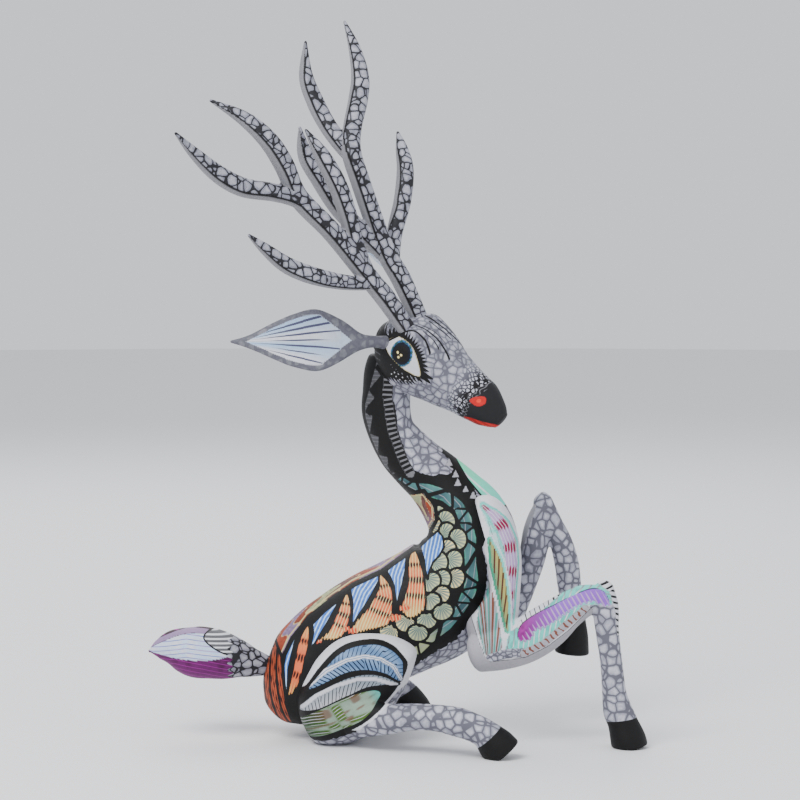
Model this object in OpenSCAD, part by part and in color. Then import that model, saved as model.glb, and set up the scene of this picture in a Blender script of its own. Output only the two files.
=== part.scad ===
// Carved and painted wooden deer, sitting back on its haunches with its forelegs raised.
// The body is one carving. The head and the legs are carved apart and glued on with dowels,
// and the antlers, ears and tail plug into drilled sockets, so that they come off for packing.

/* [Carving] */
// Size of the whole figure, 1 is about 29 cm tall
size = 1; // [0.8:0.05:1.5]
// Points round each carved section
ring_points = 20; // [16:2:28]
// Sections carved between two stations
steps = 2; // [2:1:4]

/* [Plugs] */
// Diameter of an antler's peg
antler_peg_d = 4; // [3:0.5:4.5]
// Diameter of an ear's peg
ear_peg_d = 3; // [2.5:0.5:3.5]
// Diameter of the tail's peg
tail_peg_d = 4; // [3:0.5:5]
// Length of a peg inside its socket
peg_in = 9; // [6:1:10]
// Gap round a peg that slides or turns
peg_gap = 0.05; // [0.03:0.01:0.1]

/* [Dowels] */
// Diameter of the glued dowels in the hips and shoulders
leg_dowel_d = 6; // [5:0.5:7]
// Diameter of the glued dowel in the neck
neck_dowel_d = 6; // [4:0.5:7]

/* [Hidden] */

grey = [0.70, 0.70, 0.74];
pale = [0.85, 0.86, 0.88];
black = [0.08, 0.08, 0.09];
wood = [0.80, 0.66, 0.46];
plum = [0.50, 0.15, 0.42];
$fn = 48;

// Where the origin under the middle of the figure lies, from the point that the stations are measured from
middle = [-1.4, -4, 0];
// The head's place and turn: its own X runs to the nose, Y to its left and Z to its crown
head_at = [0, 4, 152];
head_turn = [24, 29, -19];
neck_top = 147;
neck_at = [-5, 4.5];
glue_gap = 0.05;
seat_gap = 0.35;
// Where the leg dowels cross, x and z, and how deep each end goes
hip = [-16, 30];
shoulder_pin = [40, 62];
pin_in = 8;
// How far each peg reaches into the piece that plugs on
antler_peg_up = 7.5;
ear_peg_up = 3.6;
// How much deeper than its peg each of those holes is, and how far the hole's cutter starts below the mouth
peg_spare = 0.5;
ear_peg_spare = 0.3;
mouth_cut = 5;
tail_mouth_cut = 2;
// Radius of the flat round the mouth of each socket, and how high the flat is cleared
antler_flat_r = 4;
ear_flat_r = 3.3;
tail_flat_r = 4.6;
flat_clear = 12;
// How far the haunches and shoulders swell out, and how far out their pockets in the torso are cut
haunch_out = 31;
shoulder_out = 27;
pocket_out = 40;
// How much shorter a glued dowel is than its hole, at each end
dowel_short = 0.1;
// The neck's top is cut out of the head by a bar of this diameter and depth
neck_bar_d = 22;
neck_bar = 40;
// What is cut away below the ground, and how low a limb's last station must be to stand on it
ground_width = 300;
ground_depth = 60;
standing = 3;
// Points round each limb, ear and tail, and round each tine
limb_points = 16;
tine_points = 10;
// The way that each kind of section faces
limb_across = [0.1, 1, 0.1];
tine_across = [0.3, 0.9, 0.3];
ear_across = [0.21, -0.75, 0.65];
tail_peg_up = 8.5;
// How far out from the middle plane a thigh and a shoulder are seated
hip_seat = 14;
shoulder_seat_right = 8;
shoulder_seat_left = 16;

// Stations: x, y, z, half depth in the bend's plane, half width across it
torso_line = [[-49, 1, 11, 8, 8], [-44, 0, 16, 15.5, 15], [-36, 0, 23, 21.5, 21], [-28.5, 1, 30, 23, 22.5],
    [-20.5, 1, 36.5, 23.2, 23], [-9, 2, 43.5, 23.5, 22.5], [2, 3, 48.5, 23.8, 22], [15, 4, 55, 24.2, 22],
    [25.5, 5, 66, 22.6, 21], [28.5, 5, 78.5, 19.5, 19.5], [26.5, 5, 88, 16.8, 17.5], [21, 5, 96, 14.1, 15],
    [14.2, 5, 103.5, 12.2, 12.5], [7.3, 5, 109.6, 11.2, 11], [1.2, 5, 116, 10.6, 10],
    [-3.4, 4, 123, 9.5, 9.3], [-5.6, 4, 131.5, 9.9, 9],
    [-5.4, 4.3, 139, 9.7, 9.2], [-5, 4.5, neck_top, 9.5, 9.4]];
head_line = [[-10, 0, 2, 4, 4], [-8, 0, 3, 9.5, 9], [-3, 0, 4.5, 13, 12.5], [3, 0, 5.5, 15.5, 14],
    [9, 0, 6, 16, 14], [15, 0, 5.5, 15, 13], [22, 0, 4.5, 13, 11.3], [30, 0, 3.7, 10.9, 9.4],
    [37, 0, 2.7, 9.6, 8.4], [42, 0, 1.5, 8.2, 7.2], [46, 0, 0.6, 6, 5.5], [48.5, 0, 0.2, 3, 3]];
// Thigh and shoulder outlines, x and z
thigh = [[-41, 17], [-39, 8], [-33, 0], [-20, 0], [-9, 6], [-3, 14], [2, 22], [4.7, 28.5],
    [6.3, 33.5], [6.7, 37.5], [3.6, 41], [-3, 44.3], [-12, 45.5], [-20, 44.7], [-27, 41.5], [-33, 35.5],
    [-37, 29], [-39.6, 23]];
shoulder = [[30, 97], [32.5, 89], [34.5, 84], [33, 78], [34.5, 72.5], [35, 62], [31, 54], [27, 49],
    [26.5, 45], [29, 38], [36, 35], [44, 38], [46.5, 46], [47.5, 54], [48, 61], [48.5, 70], [48, 78],
    [46, 86], [42, 94], [36, 98.5]];
// How a thigh or a shoulder swells: distance out from its seat, and size of the outline there
swell = [[0, 1], [0.35, 1], [0.6, 0.95], [0.82, 0.82], [0.95, 0.6], [1, 0.3]];

cannon_right = [[-26, -22.5, 15, 8.5, 7], [-16, -27, 12.5, 8, 6.5], [-5, -33, 12.8, 6.1, 6],
    [4.5, -37, 14.3, 5.3, 5.3], [14, -41, 14.7, 5.2, 5.2], [22, -44, 13.7, 5.8, 5.3], [28, -46, 12, 5.6, 5],
    [33, -47, 9.5, 5.8, 5.2], [37, -47, 5.5, 7.2, 6.5], [40, -47, 2, 7.6, 7]];
cannon_left = [[-26, 22.5, 15, 8.5, 7], [-17, 27, 12.5, 8, 6.5], [-9, 33, 12, 6.6, 6],
    [-2, 38, 12.5, 6, 5.5], [2.5, 41, 9, 6.2, 6], [5, 43, 4.5, 7.2, 7], [6.5, 43.5, 1, 7.6, 7.2]];
forearm_right = [[31, -20, 37, 8, 6], [40, -22, 39.5, 9.2, 6.5], [49.5, -23, 42.5, 9.2, 6.5],
    [58, -24, 48, 9, 6.5], [66, -25, 54.5, 7.4, 6], [73, -25, 58.5, 6.3, 5.8], [79.5, -25, 59.5, 5, 5]];
shank_right = [[80.5, -25, 62.5, 4, 5], [81, -25, 56, 5.2, 5], [81.8, -25, 46, 4.6, 4.6],
    [83.4, -25, 34, 4.4, 4.5], [84.6, -25, 22, 4.8, 4.6], [86, -25, 15, 5.8, 5], [88, -25, 10, 6, 5.6],
    [90, -25, 4, 7, 7.2], [91, -25, 0, 7.2, 7.6]];
forearm_left = [[40, 23, 40, 8, 6], [45, 22.5, 50, 7.5, 6.3], [50, 21.5, 60, 6.3, 6.4], [54, 20.5, 70, 5.6, 6.5],
    [56, 20, 80, 5.8, 6.3], [58, 20, 88, 5, 6], [58.5, 20, 94, 2.5, 4.5]];
shank_left = [[58.5, 20, 92.5, 4, 4.5], [62.5, 21, 84, 4, 5], [66, 21, 76, 4.6, 5], [68.4, 22, 67, 5, 4.6],
    [69.6, 23, 58, 4.9, 4.4], [71, 24, 50, 4.7, 4.6], [71.8, 25, 44, 4.6, 5], [71.5, 25, 38, 6, 6],
    [70.8, 25, 30, 7.2, 7.4]];

// Tines, in the head's own frame: forward, left, up, radius
antler_right_tines = [
    [[1, -5, 17.5, 3.6], [-11, -7.5, 27, 4.1], [-19, -9.5, 32.5, 4], [-26, -12, 38, 4], [-34, -14.5, 44, 4],
        [-41, -17.5, 49.5, 4], [-53, -21.5, 56.5, 4], [-58, -23.5, 62, 3.8], [-63, -27, 71, 4],
        [-71, -30, 79, 3.8], [-82, -33, 84, 2.9], [-96, -37, 86, 0.6]],
    [[-50, -20, 55, 2.8], [-56, -25, 58.5, 3.5], [-62, -31, 60, 3.6], [-71, -40, 61, 3.8], [-79, -48, 66, 3.5],
        [-87, -57, 75, 2.3], [-93, -65, 84, 0.6]],
    [[-18, -9, 31.5, 2.3], [-26, -22, 34, 3.1], [-34, -35, 38.5, 3.5], [-42, -44, 43, 3.3],
        [-49, -52, 50, 2.3], [-55, -58, 56, 0.6]],
    [[-15, -8, 29, 2.6], [-24, -9, 36, 3.3], [-31, -9, 43, 3.7], [-38.5, -8, 53, 3.7], [-47, -6.5, 61.5, 3.8],
        [-58, -5, 69, 3.2], [-68.5, -3.5, 74.5, 0.6]]];
antler_left_tines = [
    [[1, 5, 17.5, 3.6], [-14, 8.5, 28, 4.1], [-22, 11, 31.5, 4], [-30, 14, 36, 4], [-39.5, 17, 43.5, 4],
        [-48.5, 19, 52, 4], [-57, 22, 59.5, 4], [-63, 30, 64, 3.8], [-69, 41, 71, 4], [-74, 48, 76, 3.7],
        [-83, 56, 81, 2.6], [-95, 65, 85, 0.6]],
    [[-54, 20.5, 57.5, 2.8], [-64, 24, 59.5, 3.5], [-73, 27, 62, 3.6], [-82, 30, 66.5, 3.6],
        [-90.5, 33, 73, 2.9], [-97, 37, 84.5, 0.6]],
    [[-19, 9.5, 30, 2.3], [-29, 25, 33.5, 3.2], [-35, 37, 42, 3.6], [-41.5, 46, 49.5, 3.5],
        [-48, 52, 53.5, 2.6], [-54.5, 58, 56, 0.6]],
    [[-22, 10.5, 31, 2.6], [-31, 11, 34, 3.2], [-41, 9.5, 38.5, 3.7], [-50, 8, 43, 3.7], [-60, 6, 51.5, 3.8],
        [-68.5, 4.5, 59, 3.2], [-74, 3.5, 69.5, 0.6]]];
// The right ear's blade, in the head's own frame: forward, left, up, half width, half thickness
ear_line = [[-5, -9.6, 10.5, 2.8, 2.8], [-8.5, -14, 11, 2.4, 2.4], [-12, -19.5, 11.6, 3.6, 2],
    [-17.5, -26, 12, 8.5, 1.8], [-24, -33, 11.5, 12.2, 1.7], [-31, -38.5, 9.5, 10.5, 1.6],
    [-37, -42.5, 7.5, 7.5, 1.4], [-45, -47.5, 4.5, 2.8, 1], [-51, -51, 2.5, 0.5, 0.4]];
tail_line = [[-53.5, 0, 28.5, 4, 4], [-60, -0.8, 30, 6, 6], [-64.5, -1.8, 31.4, 7.6, 7.5], [-70, -3, 32.8, 9.3, 9.5],
    [-76, -3, 34, 10.2, 10.5], [-83, -3, 34.7, 10.2, 10], [-91, -3, 36.2, 7.6, 8], [-97, -3, 35.8, 4, 4.6],
    [-100.6, -3, 35, 0.6, 0.6]];

function unit(v) = v / norm(v);
// A smooth curve through four stations, at t from 0 to 1 between the middle two
function curve(a, b, c, d, t) =
    0.5 * (2 * b + (c - a) * t + (2 * a - 5 * b + 4 * c - d) * t * t + (3 * b - a - 3 * c + d) * t * t * t);
function at(line, i) = line[max(0, min(len(line) - 1, i))];
function smooth(line) = [
    for (i = [0 : len(line) - 2], k = [0 : steps - 1])
        curve(at(line, i - 1), line[i], line[i + 1], at(line, i + 2), k / steps),
    line[len(line) - 1]];
function place(s) = [s[0], s[1], s[2]];
function heading(line, i) = unit(place(at(line, i + 1)) - place(at(line, i - 1)));
// One ring of a section, square to the heading, with "across" turned to lie in its plane
function ring(s, ahead, across, n) =
    let (side = unit(across - (across * ahead) * ahead), rise = cross(ahead, side))
    [for (k = [0 : n - 1]) place(s) + s[3] * cos(360 * k / n) * rise + s[4] * sin(360 * k / n) * side];

// A skin over rings of n points each, closed at both ends by flat faces
module skin(rings) {
    n = len(rings[0]);
    last = len(rings) - 1;
    polyhedron(
        points = [for (r = rings) each r],
        faces = concat(
            [[for (k = [0 : n - 1]) n - 1 - k]],
            [[for (k = [0 : n - 1]) last * n + k]],
            [for (i = [0 : last - 1], k = [0 : n - 1])
                each [[i * n + k, i * n + (k + 1) % n, (i + 1) * n + k],
                    [i * n + (k + 1) % n, (i + 1) * n + (k + 1) % n, (i + 1) * n + k]]]));
}

// A limb, body or blade carved along its stations
module carved(line, across = [0, 1, 0], n = ring_points) {
    fine = smooth(line);
    skin([for (i = [0 : len(fine) - 1]) ring(fine[i], heading(fine, i), across, n)]);
}

// A round tine, whose stations hold one radius
module tine(line) {
    fine = smooth([for (s = line) [s[0], s[1], s[2], s[3], s[3]]]);
    skin([for (i = [0 : len(fine) - 1]) ring(fine[i], heading(fine, i), tine_across, tine_points)]);
}

// A thigh or shoulder that swells out from a flat seat at y = from to y = to
module swelling(outline, from, to) {
    n = len(outline);
    centre = [for (k = [0, 1]) [for (p = outline) p[k]] * [for (p = outline) 1] / n];
    rows = [for (s = swell) [for (p = outline)
        let (q = centre + s[1] * (p - centre)) [q[0], from + s[0] * (to - from), q[1]]]];
    skin(to < from ? [for (r = rows) [for (k = [n - 1 : -1 : 0]) r[k]]] : rows);
}

module pocket(outline, from, to) {
    translate([0, max(from, to), 0]) rotate([90, 0, 0])
        linear_extrude(abs(to - from)) offset(delta = glue_gap) polygon(outline);
}

module aim(v) {
    rotate([0, acos(v[2] / norm(v)), atan2(v[1], v[0])]) children();
}

// A round bar along a line's first stretch, from a depth below its first station to a height above it
module peg(line, d, below, above) {
    translate(place(line[0])) aim(place(line[1]) - place(line[0]))
        translate([0, 0, -below]) cylinder(d = d, h = below + above);
}

// A drilled socket with a flat round its mouth, a hair below the plugged piece's end
module socket(line, d, flat_r) {
    peg(line, d + 2 * peg_gap, peg_in + peg_spare, 1);
    peg(line, 2 * flat_r, seat_gap, flat_clear);
}

// A round bar across the body from y = from to y = to
module across_bar(at, from, to, d) {
    translate([at[0], max(from, to), at[1]]) rotate([90, 0, 0]) cylinder(d = d, h = abs(to - from));
}

module leg_hole(at, y) {
    across_bar(at, y - pin_in, y + pin_in, leg_dowel_d + 2 * glue_gap);
}

module neck_pin(from, to, d) {
    translate([neck_at[0], neck_at[1], from]) cylinder(d = d, h = to - from);
}

module floor_cut() {
    translate([-ground_width / 2, -ground_width / 2, -ground_depth]) cube([ground_width, ground_width, ground_depth]);
}

module on_head() {
    translate(head_at) rotate(head_turn) children();
}

module placed() {
    scale(size) translate(-middle) children();
}

module torso() {
    color(black) placed() difference() {
        carved(torso_line);
        pocket(thigh, -hip_seat, -pocket_out);
        pocket(thigh, hip_seat, pocket_out);
        pocket(shoulder, -shoulder_seat_right, -pocket_out);
        pocket(shoulder, shoulder_seat_left, pocket_out);
        leg_hole(hip, -hip_seat);
        leg_hole(hip, hip_seat);
        leg_hole(shoulder_pin, -shoulder_seat_right);
        leg_hole(shoulder_pin, shoulder_seat_left);
        neck_pin(neck_top - pin_in, neck_top + 1, neck_dowel_d + 2 * glue_gap);
        socket(tail_line, tail_peg_d, tail_flat_r);
    }
}

module head() {
    color(grey) placed() difference() {
        on_head() carved(head_line);
        neck_pin(neck_top - neck_bar, neck_top, neck_bar_d);
        neck_pin(neck_top - 1, neck_top + pin_in, neck_dowel_d + 2 * glue_gap);
        on_head() {
            socket(antler_right_tines[0], antler_peg_d, antler_flat_r);
            socket(antler_left_tines[0], antler_peg_d, antler_flat_r);
            socket(ear_line, ear_peg_d, ear_flat_r);
            mirror([0, 1, 0]) socket(ear_line, ear_peg_d, ear_flat_r);
        }
    }
}

module neck_dowel() {
    color(wood) placed() neck_pin(neck_top - pin_in + dowel_short, neck_top + pin_in - dowel_short, neck_dowel_d);
}

// A length of leg, flat where it stands
module limb(line) {
    if (line[len(line) - 1][2] < standing)
        difference() {
            carved(line, across = limb_across, n = limb_points);
            floor_cut();
        }
    else carved(line, across = limb_across, n = limb_points);
}

// A leg: its swelling, then its carved lengths, with the hole for its dowel
module leg(outline, inner, outer, lengths, pin) {
    color(pale) placed() difference() {
        union() {
            swelling(outline, inner, outer);
            for (line = lengths) limb(line);
        }
        leg_hole(pin, inner);
    }
}

module foreleg_right() { leg(shoulder, -shoulder_seat_right, -shoulder_out, [forearm_right, shank_right], shoulder_pin); }
module foreleg_left() { leg(shoulder, shoulder_seat_left, shoulder_out, [forearm_left, shank_left], shoulder_pin); }
module hindleg_right() { leg(thigh, -hip_seat, -haunch_out, [cannon_right], hip); }
module hindleg_left() { leg(thigh, hip_seat, haunch_out, [cannon_left], hip); }

module leg_dowel(at, y) {
    color(wood) placed() across_bar(at, y - pin_in + dowel_short, y + pin_in - dowel_short, leg_dowel_d);
}
module shoulder_dowel_right() { leg_dowel(shoulder_pin, -shoulder_seat_right); }
module shoulder_dowel_left() { leg_dowel(shoulder_pin, shoulder_seat_left); }
module hip_dowel_right() { leg_dowel(hip, -hip_seat); }
module hip_dowel_left() { leg_dowel(hip, hip_seat); }

module antler(tines) {
    color(grey) placed() on_head() difference() {
        union() for (line = tines) tine(line);
        peg(tines[0], antler_peg_d + 2 * peg_gap, mouth_cut, antler_peg_up + peg_spare);
    }
}
module antler_right() { antler(antler_right_tines); }
module antler_left() { antler(antler_left_tines); }

module antler_peg(tines) {
    color(wood) placed() on_head() peg(tines[0], antler_peg_d, peg_in, antler_peg_up);
}
module antler_peg_right() { antler_peg(antler_right_tines); }
module antler_peg_left() { antler_peg(antler_left_tines); }

module ear() {
    difference() {
        carved(ear_line, across = ear_across, n = limb_points);
        peg(ear_line, ear_peg_d + 2 * peg_gap, mouth_cut, ear_peg_up + ear_peg_spare);
    }
}
module ear_peg() { peg(ear_line, ear_peg_d, peg_in, ear_peg_up); }
module ear_right() { color(pale) placed() on_head() ear(); }
module ear_left() { color(pale) placed() on_head() mirror([0, 1, 0]) ear(); }
module ear_peg_right() { color(wood) placed() on_head() ear_peg(); }
module ear_peg_left() { color(wood) placed() on_head() mirror([0, 1, 0]) ear_peg(); }

module tail() {
    color(plum) placed() difference() {
        carved(tail_line, n = limb_points);
        peg(tail_line, tail_peg_d + 2 * peg_gap, tail_mouth_cut, tail_peg_up + peg_spare);
    }
}
module tail_peg() { color(wood) placed() peg(tail_line, tail_peg_d, peg_in, tail_peg_up); }

torso();
head();
neck_dowel();
foreleg_right();
foreleg_left();
hindleg_right();
hindleg_left();
shoulder_dowel_right();
shoulder_dowel_left();
hip_dowel_right();
hip_dowel_left();
antler_right();
antler_left();
antler_peg_right();
antler_peg_left();
ear_right();
ear_left();
ear_peg_right();
ear_peg_left();
tail();
tail_peg();
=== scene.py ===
"""A deer sitting back with its forelegs raised, carved in wood and painted all over by hand."""

import math

import bpy
import numpy as np
from bpy.props import FloatProperty, FloatVectorProperty, PointerProperty
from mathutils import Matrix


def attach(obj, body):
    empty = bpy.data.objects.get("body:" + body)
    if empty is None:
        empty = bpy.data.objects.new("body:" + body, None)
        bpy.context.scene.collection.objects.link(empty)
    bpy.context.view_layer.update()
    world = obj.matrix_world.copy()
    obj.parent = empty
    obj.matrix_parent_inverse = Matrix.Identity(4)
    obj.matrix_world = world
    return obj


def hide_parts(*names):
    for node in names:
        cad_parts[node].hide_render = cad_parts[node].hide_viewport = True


bl_info = {
    "name": "Painted sitting deer",
    "version": (1, 0, 0),
    "blender": (4, 5, 0),
    "location": "View3D > Sidebar > Deer",
    "description": "Builds a carved and painted wooden deer round its packed parts",
    "category": "Object",
}

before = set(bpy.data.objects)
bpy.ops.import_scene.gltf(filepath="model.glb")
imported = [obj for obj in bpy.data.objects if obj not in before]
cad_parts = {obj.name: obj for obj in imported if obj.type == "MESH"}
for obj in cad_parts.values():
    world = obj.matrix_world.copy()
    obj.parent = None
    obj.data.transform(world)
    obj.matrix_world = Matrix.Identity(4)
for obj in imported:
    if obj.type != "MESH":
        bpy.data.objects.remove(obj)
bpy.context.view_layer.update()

MM = 0.001
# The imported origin, under the middle of the figure, from the point that the stations are measured from
SHIFT = np.array([1.4, 4.0, 0.0])
HEAD_AT = np.array([0.0, 4.0, 152.0])
HEAD_TURN = (24.0, 29.0, -19.0)

# Stations: x, y, z, half depth in the bend's plane, half width across it, in millimetres
TORSO = [[-49, 1, 11, 8, 8], [-44, 0, 16, 15.5, 15], [-36, 0, 23, 21.5, 21], [-28.5, 1, 30, 23, 22.5],
         [-20.5, 1, 36.5, 23.2, 23], [-9, 2, 43.5, 23.5, 22.5], [2, 3, 48.5, 23.8, 22], [15, 4, 55, 24.2, 22],
         [25.5, 5, 66, 22.6, 21], [28.5, 5, 78.5, 19.5, 19.5], [26.5, 5, 88, 16.8, 17.5], [21, 5, 96, 14.1, 15],
         [14.2, 5, 103.5, 12.2, 12.5], [7.3, 5, 109.6, 11.2, 11], [1.2, 5, 116, 10.6, 10],
         [-3.4, 4, 123, 9.5, 9.3],
         [-5.6, 4, 131.5, 9.9, 9], [-5.4, 4.3, 139, 9.7, 9.2], [-5, 4.5, 147, 9.5, 9.4],
         [-4, 4.5, 153, 8.5, 8.4]]
HEAD = [[-10, 0, 2, 4, 4], [-8, 0, 3, 9.5, 9], [-3, 0, 4.5, 13, 12.5], [3, 0, 5.5, 15.5, 14], [9, 0, 6, 16, 14],
        [15, 0, 5.5, 15, 13], [22, 0, 4.5, 13, 11.3], [30, 0, 3.7, 10.9, 9.4], [37, 0, 2.7, 9.6, 8.4],
        [42, 0, 1.5, 8.2, 7.2], [46, 0, 0.6, 6, 5.5], [48.3, 0, 0, 4, 3.8]]
THIGH = [[-41, 17], [-39, 8], [-33, 0], [-20, 0], [-9, 6], [-3, 14], [2, 22], [4.7, 28.5], [6.3, 33.5],
    [6.7, 37.5],
         [3.6, 41], [-3, 44.3], [-12, 45.5], [-20, 44.7], [-27, 41.5], [-33, 35.5], [-37, 29], [-39.6, 23]]
SHOULDER = [[30, 97], [32.5, 89], [34.5, 84], [33, 78], [34.5, 72.5], [35, 62], [31, 54], [27, 49], [26.5, 45],
            [29, 38], [36, 35], [44, 38], [46.5, 46], [47.5, 54], [48, 61], [48.5, 70], [48, 78], [46, 86],
            [42, 94],
            [36, 98.5]]
CANNON_RIGHT = [[-26, -22.5, 15, 8.5, 7], [-16, -27, 12.5, 8, 6.5], [-5, -33, 12.8, 6.1, 6],
    [4.5, -37, 14.3, 5.3, 5.3],
                [14, -41, 14.7, 5.2, 5.2], [22, -44, 13.7, 5.8, 5.3], [28, -46, 12, 5.6, 5],
                [33, -47, 9.5, 5.8, 5.2],
                [37, -47, 5.5, 7.2, 6.5], [40, -47, 2, 7.6, 7]]
CANNON_LEFT = [[-26, 22.5, 15, 8.5, 7], [-17, 27, 12.5, 8, 6.5], [-9, 33, 12, 6.6, 6], [-2, 38, 12.5, 6, 5.5],
               [2.5, 41, 9, 6.2, 6], [5, 43, 4.5, 7.2, 7], [6.5, 43.5, 1, 7.6, 7.2]]
FOREARM_RIGHT = [[31, -20, 37, 8, 6], [40, -22, 39.5, 9.2, 6.5], [49.5, -23, 42.5, 9.2, 6.5],
    [58, -24, 48, 9, 6.5],
                 [66, -25, 54.5, 7.4, 6], [73, -25, 58.5, 6.3, 5.8], [79.5, -25, 59.5, 5, 5]]
SHANK_RIGHT = [[80.5, -25, 62.5, 4, 5], [81, -25, 56, 5.2, 5], [81.8, -25, 46, 4.6, 4.6],
    [83.4, -25, 34, 4.4, 4.5],
               [84.6, -25, 22, 4.8, 4.6], [86, -25, 15, 5.8, 5], [88, -25, 10, 6, 5.6], [90, -25, 4, 7, 7.2],
               [91, -25, 0, 7.2, 7.6]]
FOREARM_LEFT = [[40, 23, 40, 8, 6], [45, 22.5, 50, 7.5, 6.3], [50, 21.5, 60, 6.3, 6.4],
    [54, 20.5, 70, 5.6, 6.5],
                [56, 20, 80, 5.8, 6.3], [58, 20, 88, 5, 6], [58.5, 20, 94, 2.5, 4.5]]
SHANK_LEFT = [[58.5, 20, 92.5, 4, 4.5], [62.5, 21, 84, 4, 5], [66, 21, 76, 4.6, 5], [68.4, 22, 67, 5, 4.6],
              [69.6, 23, 58, 4.9, 4.4], [71, 24, 50, 4.7, 4.6], [71.8, 25, 44, 4.6, 5], [71.5, 25, 38, 6, 6],
              [70.8, 25, 30, 7.2, 7.4]]
# Tines, in the head's own frame: forward, left, up, radius
ANTLER_RIGHT = [
    [[1, -5, 17.5, 3.6], [-11, -7.5, 27, 4.1], [-19, -9.5, 32.5, 4], [-26, -12, 38, 4], [-34, -14.5, 44, 4],
     [-41, -17.5, 49.5, 4], [-53, -21.5, 56.5, 4], [-58, -23.5, 62, 3.8], [-63, -27, 71, 4],
     [-71, -30, 79, 3.8],
     [-82, -33, 84, 2.9], [-96, -37, 86, 0.6]],
    [[-50, -20, 55, 2.8], [-56, -25, 58.5, 3.5], [-62, -31, 60, 3.6], [-71, -40, 61, 3.8], [-79, -48, 66, 3.5],
     [-87, -57, 75, 2.3], [-93, -65, 84, 0.6]],
    [[-18, -9, 31.5, 2.3], [-26, -22, 34, 3.1], [-34, -35, 38.5, 3.5], [-42, -44, 43, 3.3], [-49, -52, 50, 2.3],
     [-55, -58, 56, 0.6]],
    [[-15, -8, 29, 2.6], [-24, -9, 36, 3.3], [-31, -9, 43, 3.7], [-38.5, -8, 53, 3.7], [-47, -6.5, 61.5, 3.8],
     [-58, -5, 69, 3.2], [-68.5, -3.5, 74.5, 0.6]]]
ANTLER_LEFT = [
    [[1, 5, 17.5, 3.6], [-14, 8.5, 28, 4.1], [-22, 11, 31.5, 4], [-30, 14, 36, 4], [-39.5, 17, 43.5, 4],
     [-48.5, 19, 52, 4], [-57, 22, 59.5, 4], [-63, 30, 64, 3.8], [-69, 41, 71, 4], [-74, 48, 76, 3.7],
     [-83, 56, 81, 2.6], [-95, 65, 85, 0.6]],
    [[-54, 20.5, 57.5, 2.8], [-64, 24, 59.5, 3.5], [-73, 27, 62, 3.6], [-82, 30, 66.5, 3.6],
        [-90.5, 33, 73, 2.9],
     [-97, 37, 84.5, 0.6]],
    [[-19, 9.5, 30, 2.3], [-29, 25, 33.5, 3.2], [-35, 37, 42, 3.6], [-41.5, 46, 49.5, 3.5],
        [-48, 52, 53.5, 2.6],
     [-54.5, 58, 56, 0.6]],
    [[-22, 10.5, 31, 2.6], [-31, 11, 34, 3.2], [-41, 9.5, 38.5, 3.7], [-50, 8, 43, 3.7], [-60, 6, 51.5, 3.8],
     [-68.5, 4.5, 59, 3.2], [-74, 3.5, 69.5, 0.6]]]
# The right ear's blade, in the head's own frame: forward, left, up, half width, half thickness
EAR_FACE = (0.21, -0.75, 0.65)
EAR = [[-5, -9.6, 10.5, 2.8, 2.8], [-8.5, -14, 11, 2.4, 2.4], [-12, -19.5, 11.6, 3.6, 2],
    [-17.5, -26, 12, 8.5, 1.8],
       [-24, -33, 11.5, 12.2, 1.7], [-31, -38.5, 9.5, 10.5, 1.6], [-37, -42.5, 7.5, 7.5, 1.4],
       [-45, -47.5, 4.5, 2.8, 1], [-51, -51, 2.5, 0.5, 0.4]]
TAIL = [[-53.5, 0, 28.5, 4, 4], [-60, -0.8, 30, 6, 6], [-64.5, -1.8, 31.4, 7.6, 7.5], [-70, -3, 32.8, 9.3, 9.5],
        [-76, -3, 34, 10.2, 10.5], [-83, -3, 34.7, 10.2, 10], [-91, -3, 36.2, 7.6, 8], [-97, -3, 35.8, 4, 4.6],
        [-100.6, -3, 35, 0.6, 0.6]]


# ---------------------------------------------------------------- colours


def linear(c):
    """A display colour as the linear light that a shader works in."""
    c = np.asarray(c, float)
    return np.where(c <= 0.04045, c / 12.92, ((c + 0.055) / 1.055) ** 2.4)


BLACK = linear([0.075, 0.07, 0.075])
PALE = linear([0.72, 0.72, 0.75])
WHITE = linear([0.86, 0.86, 0.88])
GREY = linear([0.50, 0.50, 0.52])
CREAM = linear([0.90, 0.84, 0.62])
TEAL = linear([0.36, 0.54, 0.54])
TEAL_DARK = linear([0.26, 0.38, 0.41])
SCALE = linear([0.62, 0.65, 0.58])
LIME = linear([0.78, 0.80, 0.62])
BLUE = linear([0.34, 0.55, 0.86])
BLUE_PALE = linear([0.72, 0.83, 0.95])
ORANGE = linear([0.88, 0.47, 0.28])
RUST = linear([0.62, 0.29, 0.16])
BROWN = linear([0.25, 0.07, 0.05])
MINT = linear([0.45, 0.90, 0.72])
TURQUOISE = linear([0.45, 0.84, 0.80])
PURPLE = linear([0.62, 0.40, 0.82])
MAGENTA = linear([0.66, 0.15, 0.62])
CRIMSON = linear([0.58, 0.10, 0.32])
LILAC = linear([0.74, 0.64, 0.80])
PLUM = linear([0.28, 0.04, 0.20])
RED = linear([0.80, 0.08, 0.06])
NAVY = linear([0.05, 0.09, 0.19])
EYE_BLUE = linear([0.20, 0.42, 0.62])
MOSS = linear([0.38, 0.46, 0.25])
STEEL = linear([0.42, 0.55, 0.70])
PLUSH = linear([0.55, 0.60, 0.64])
FOREST = linear([0.16, 0.30, 0.14])
TERRACOTTA = linear([0.56, 0.36, 0.30])


# ---------------------------------------------------------------- shapes


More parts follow.
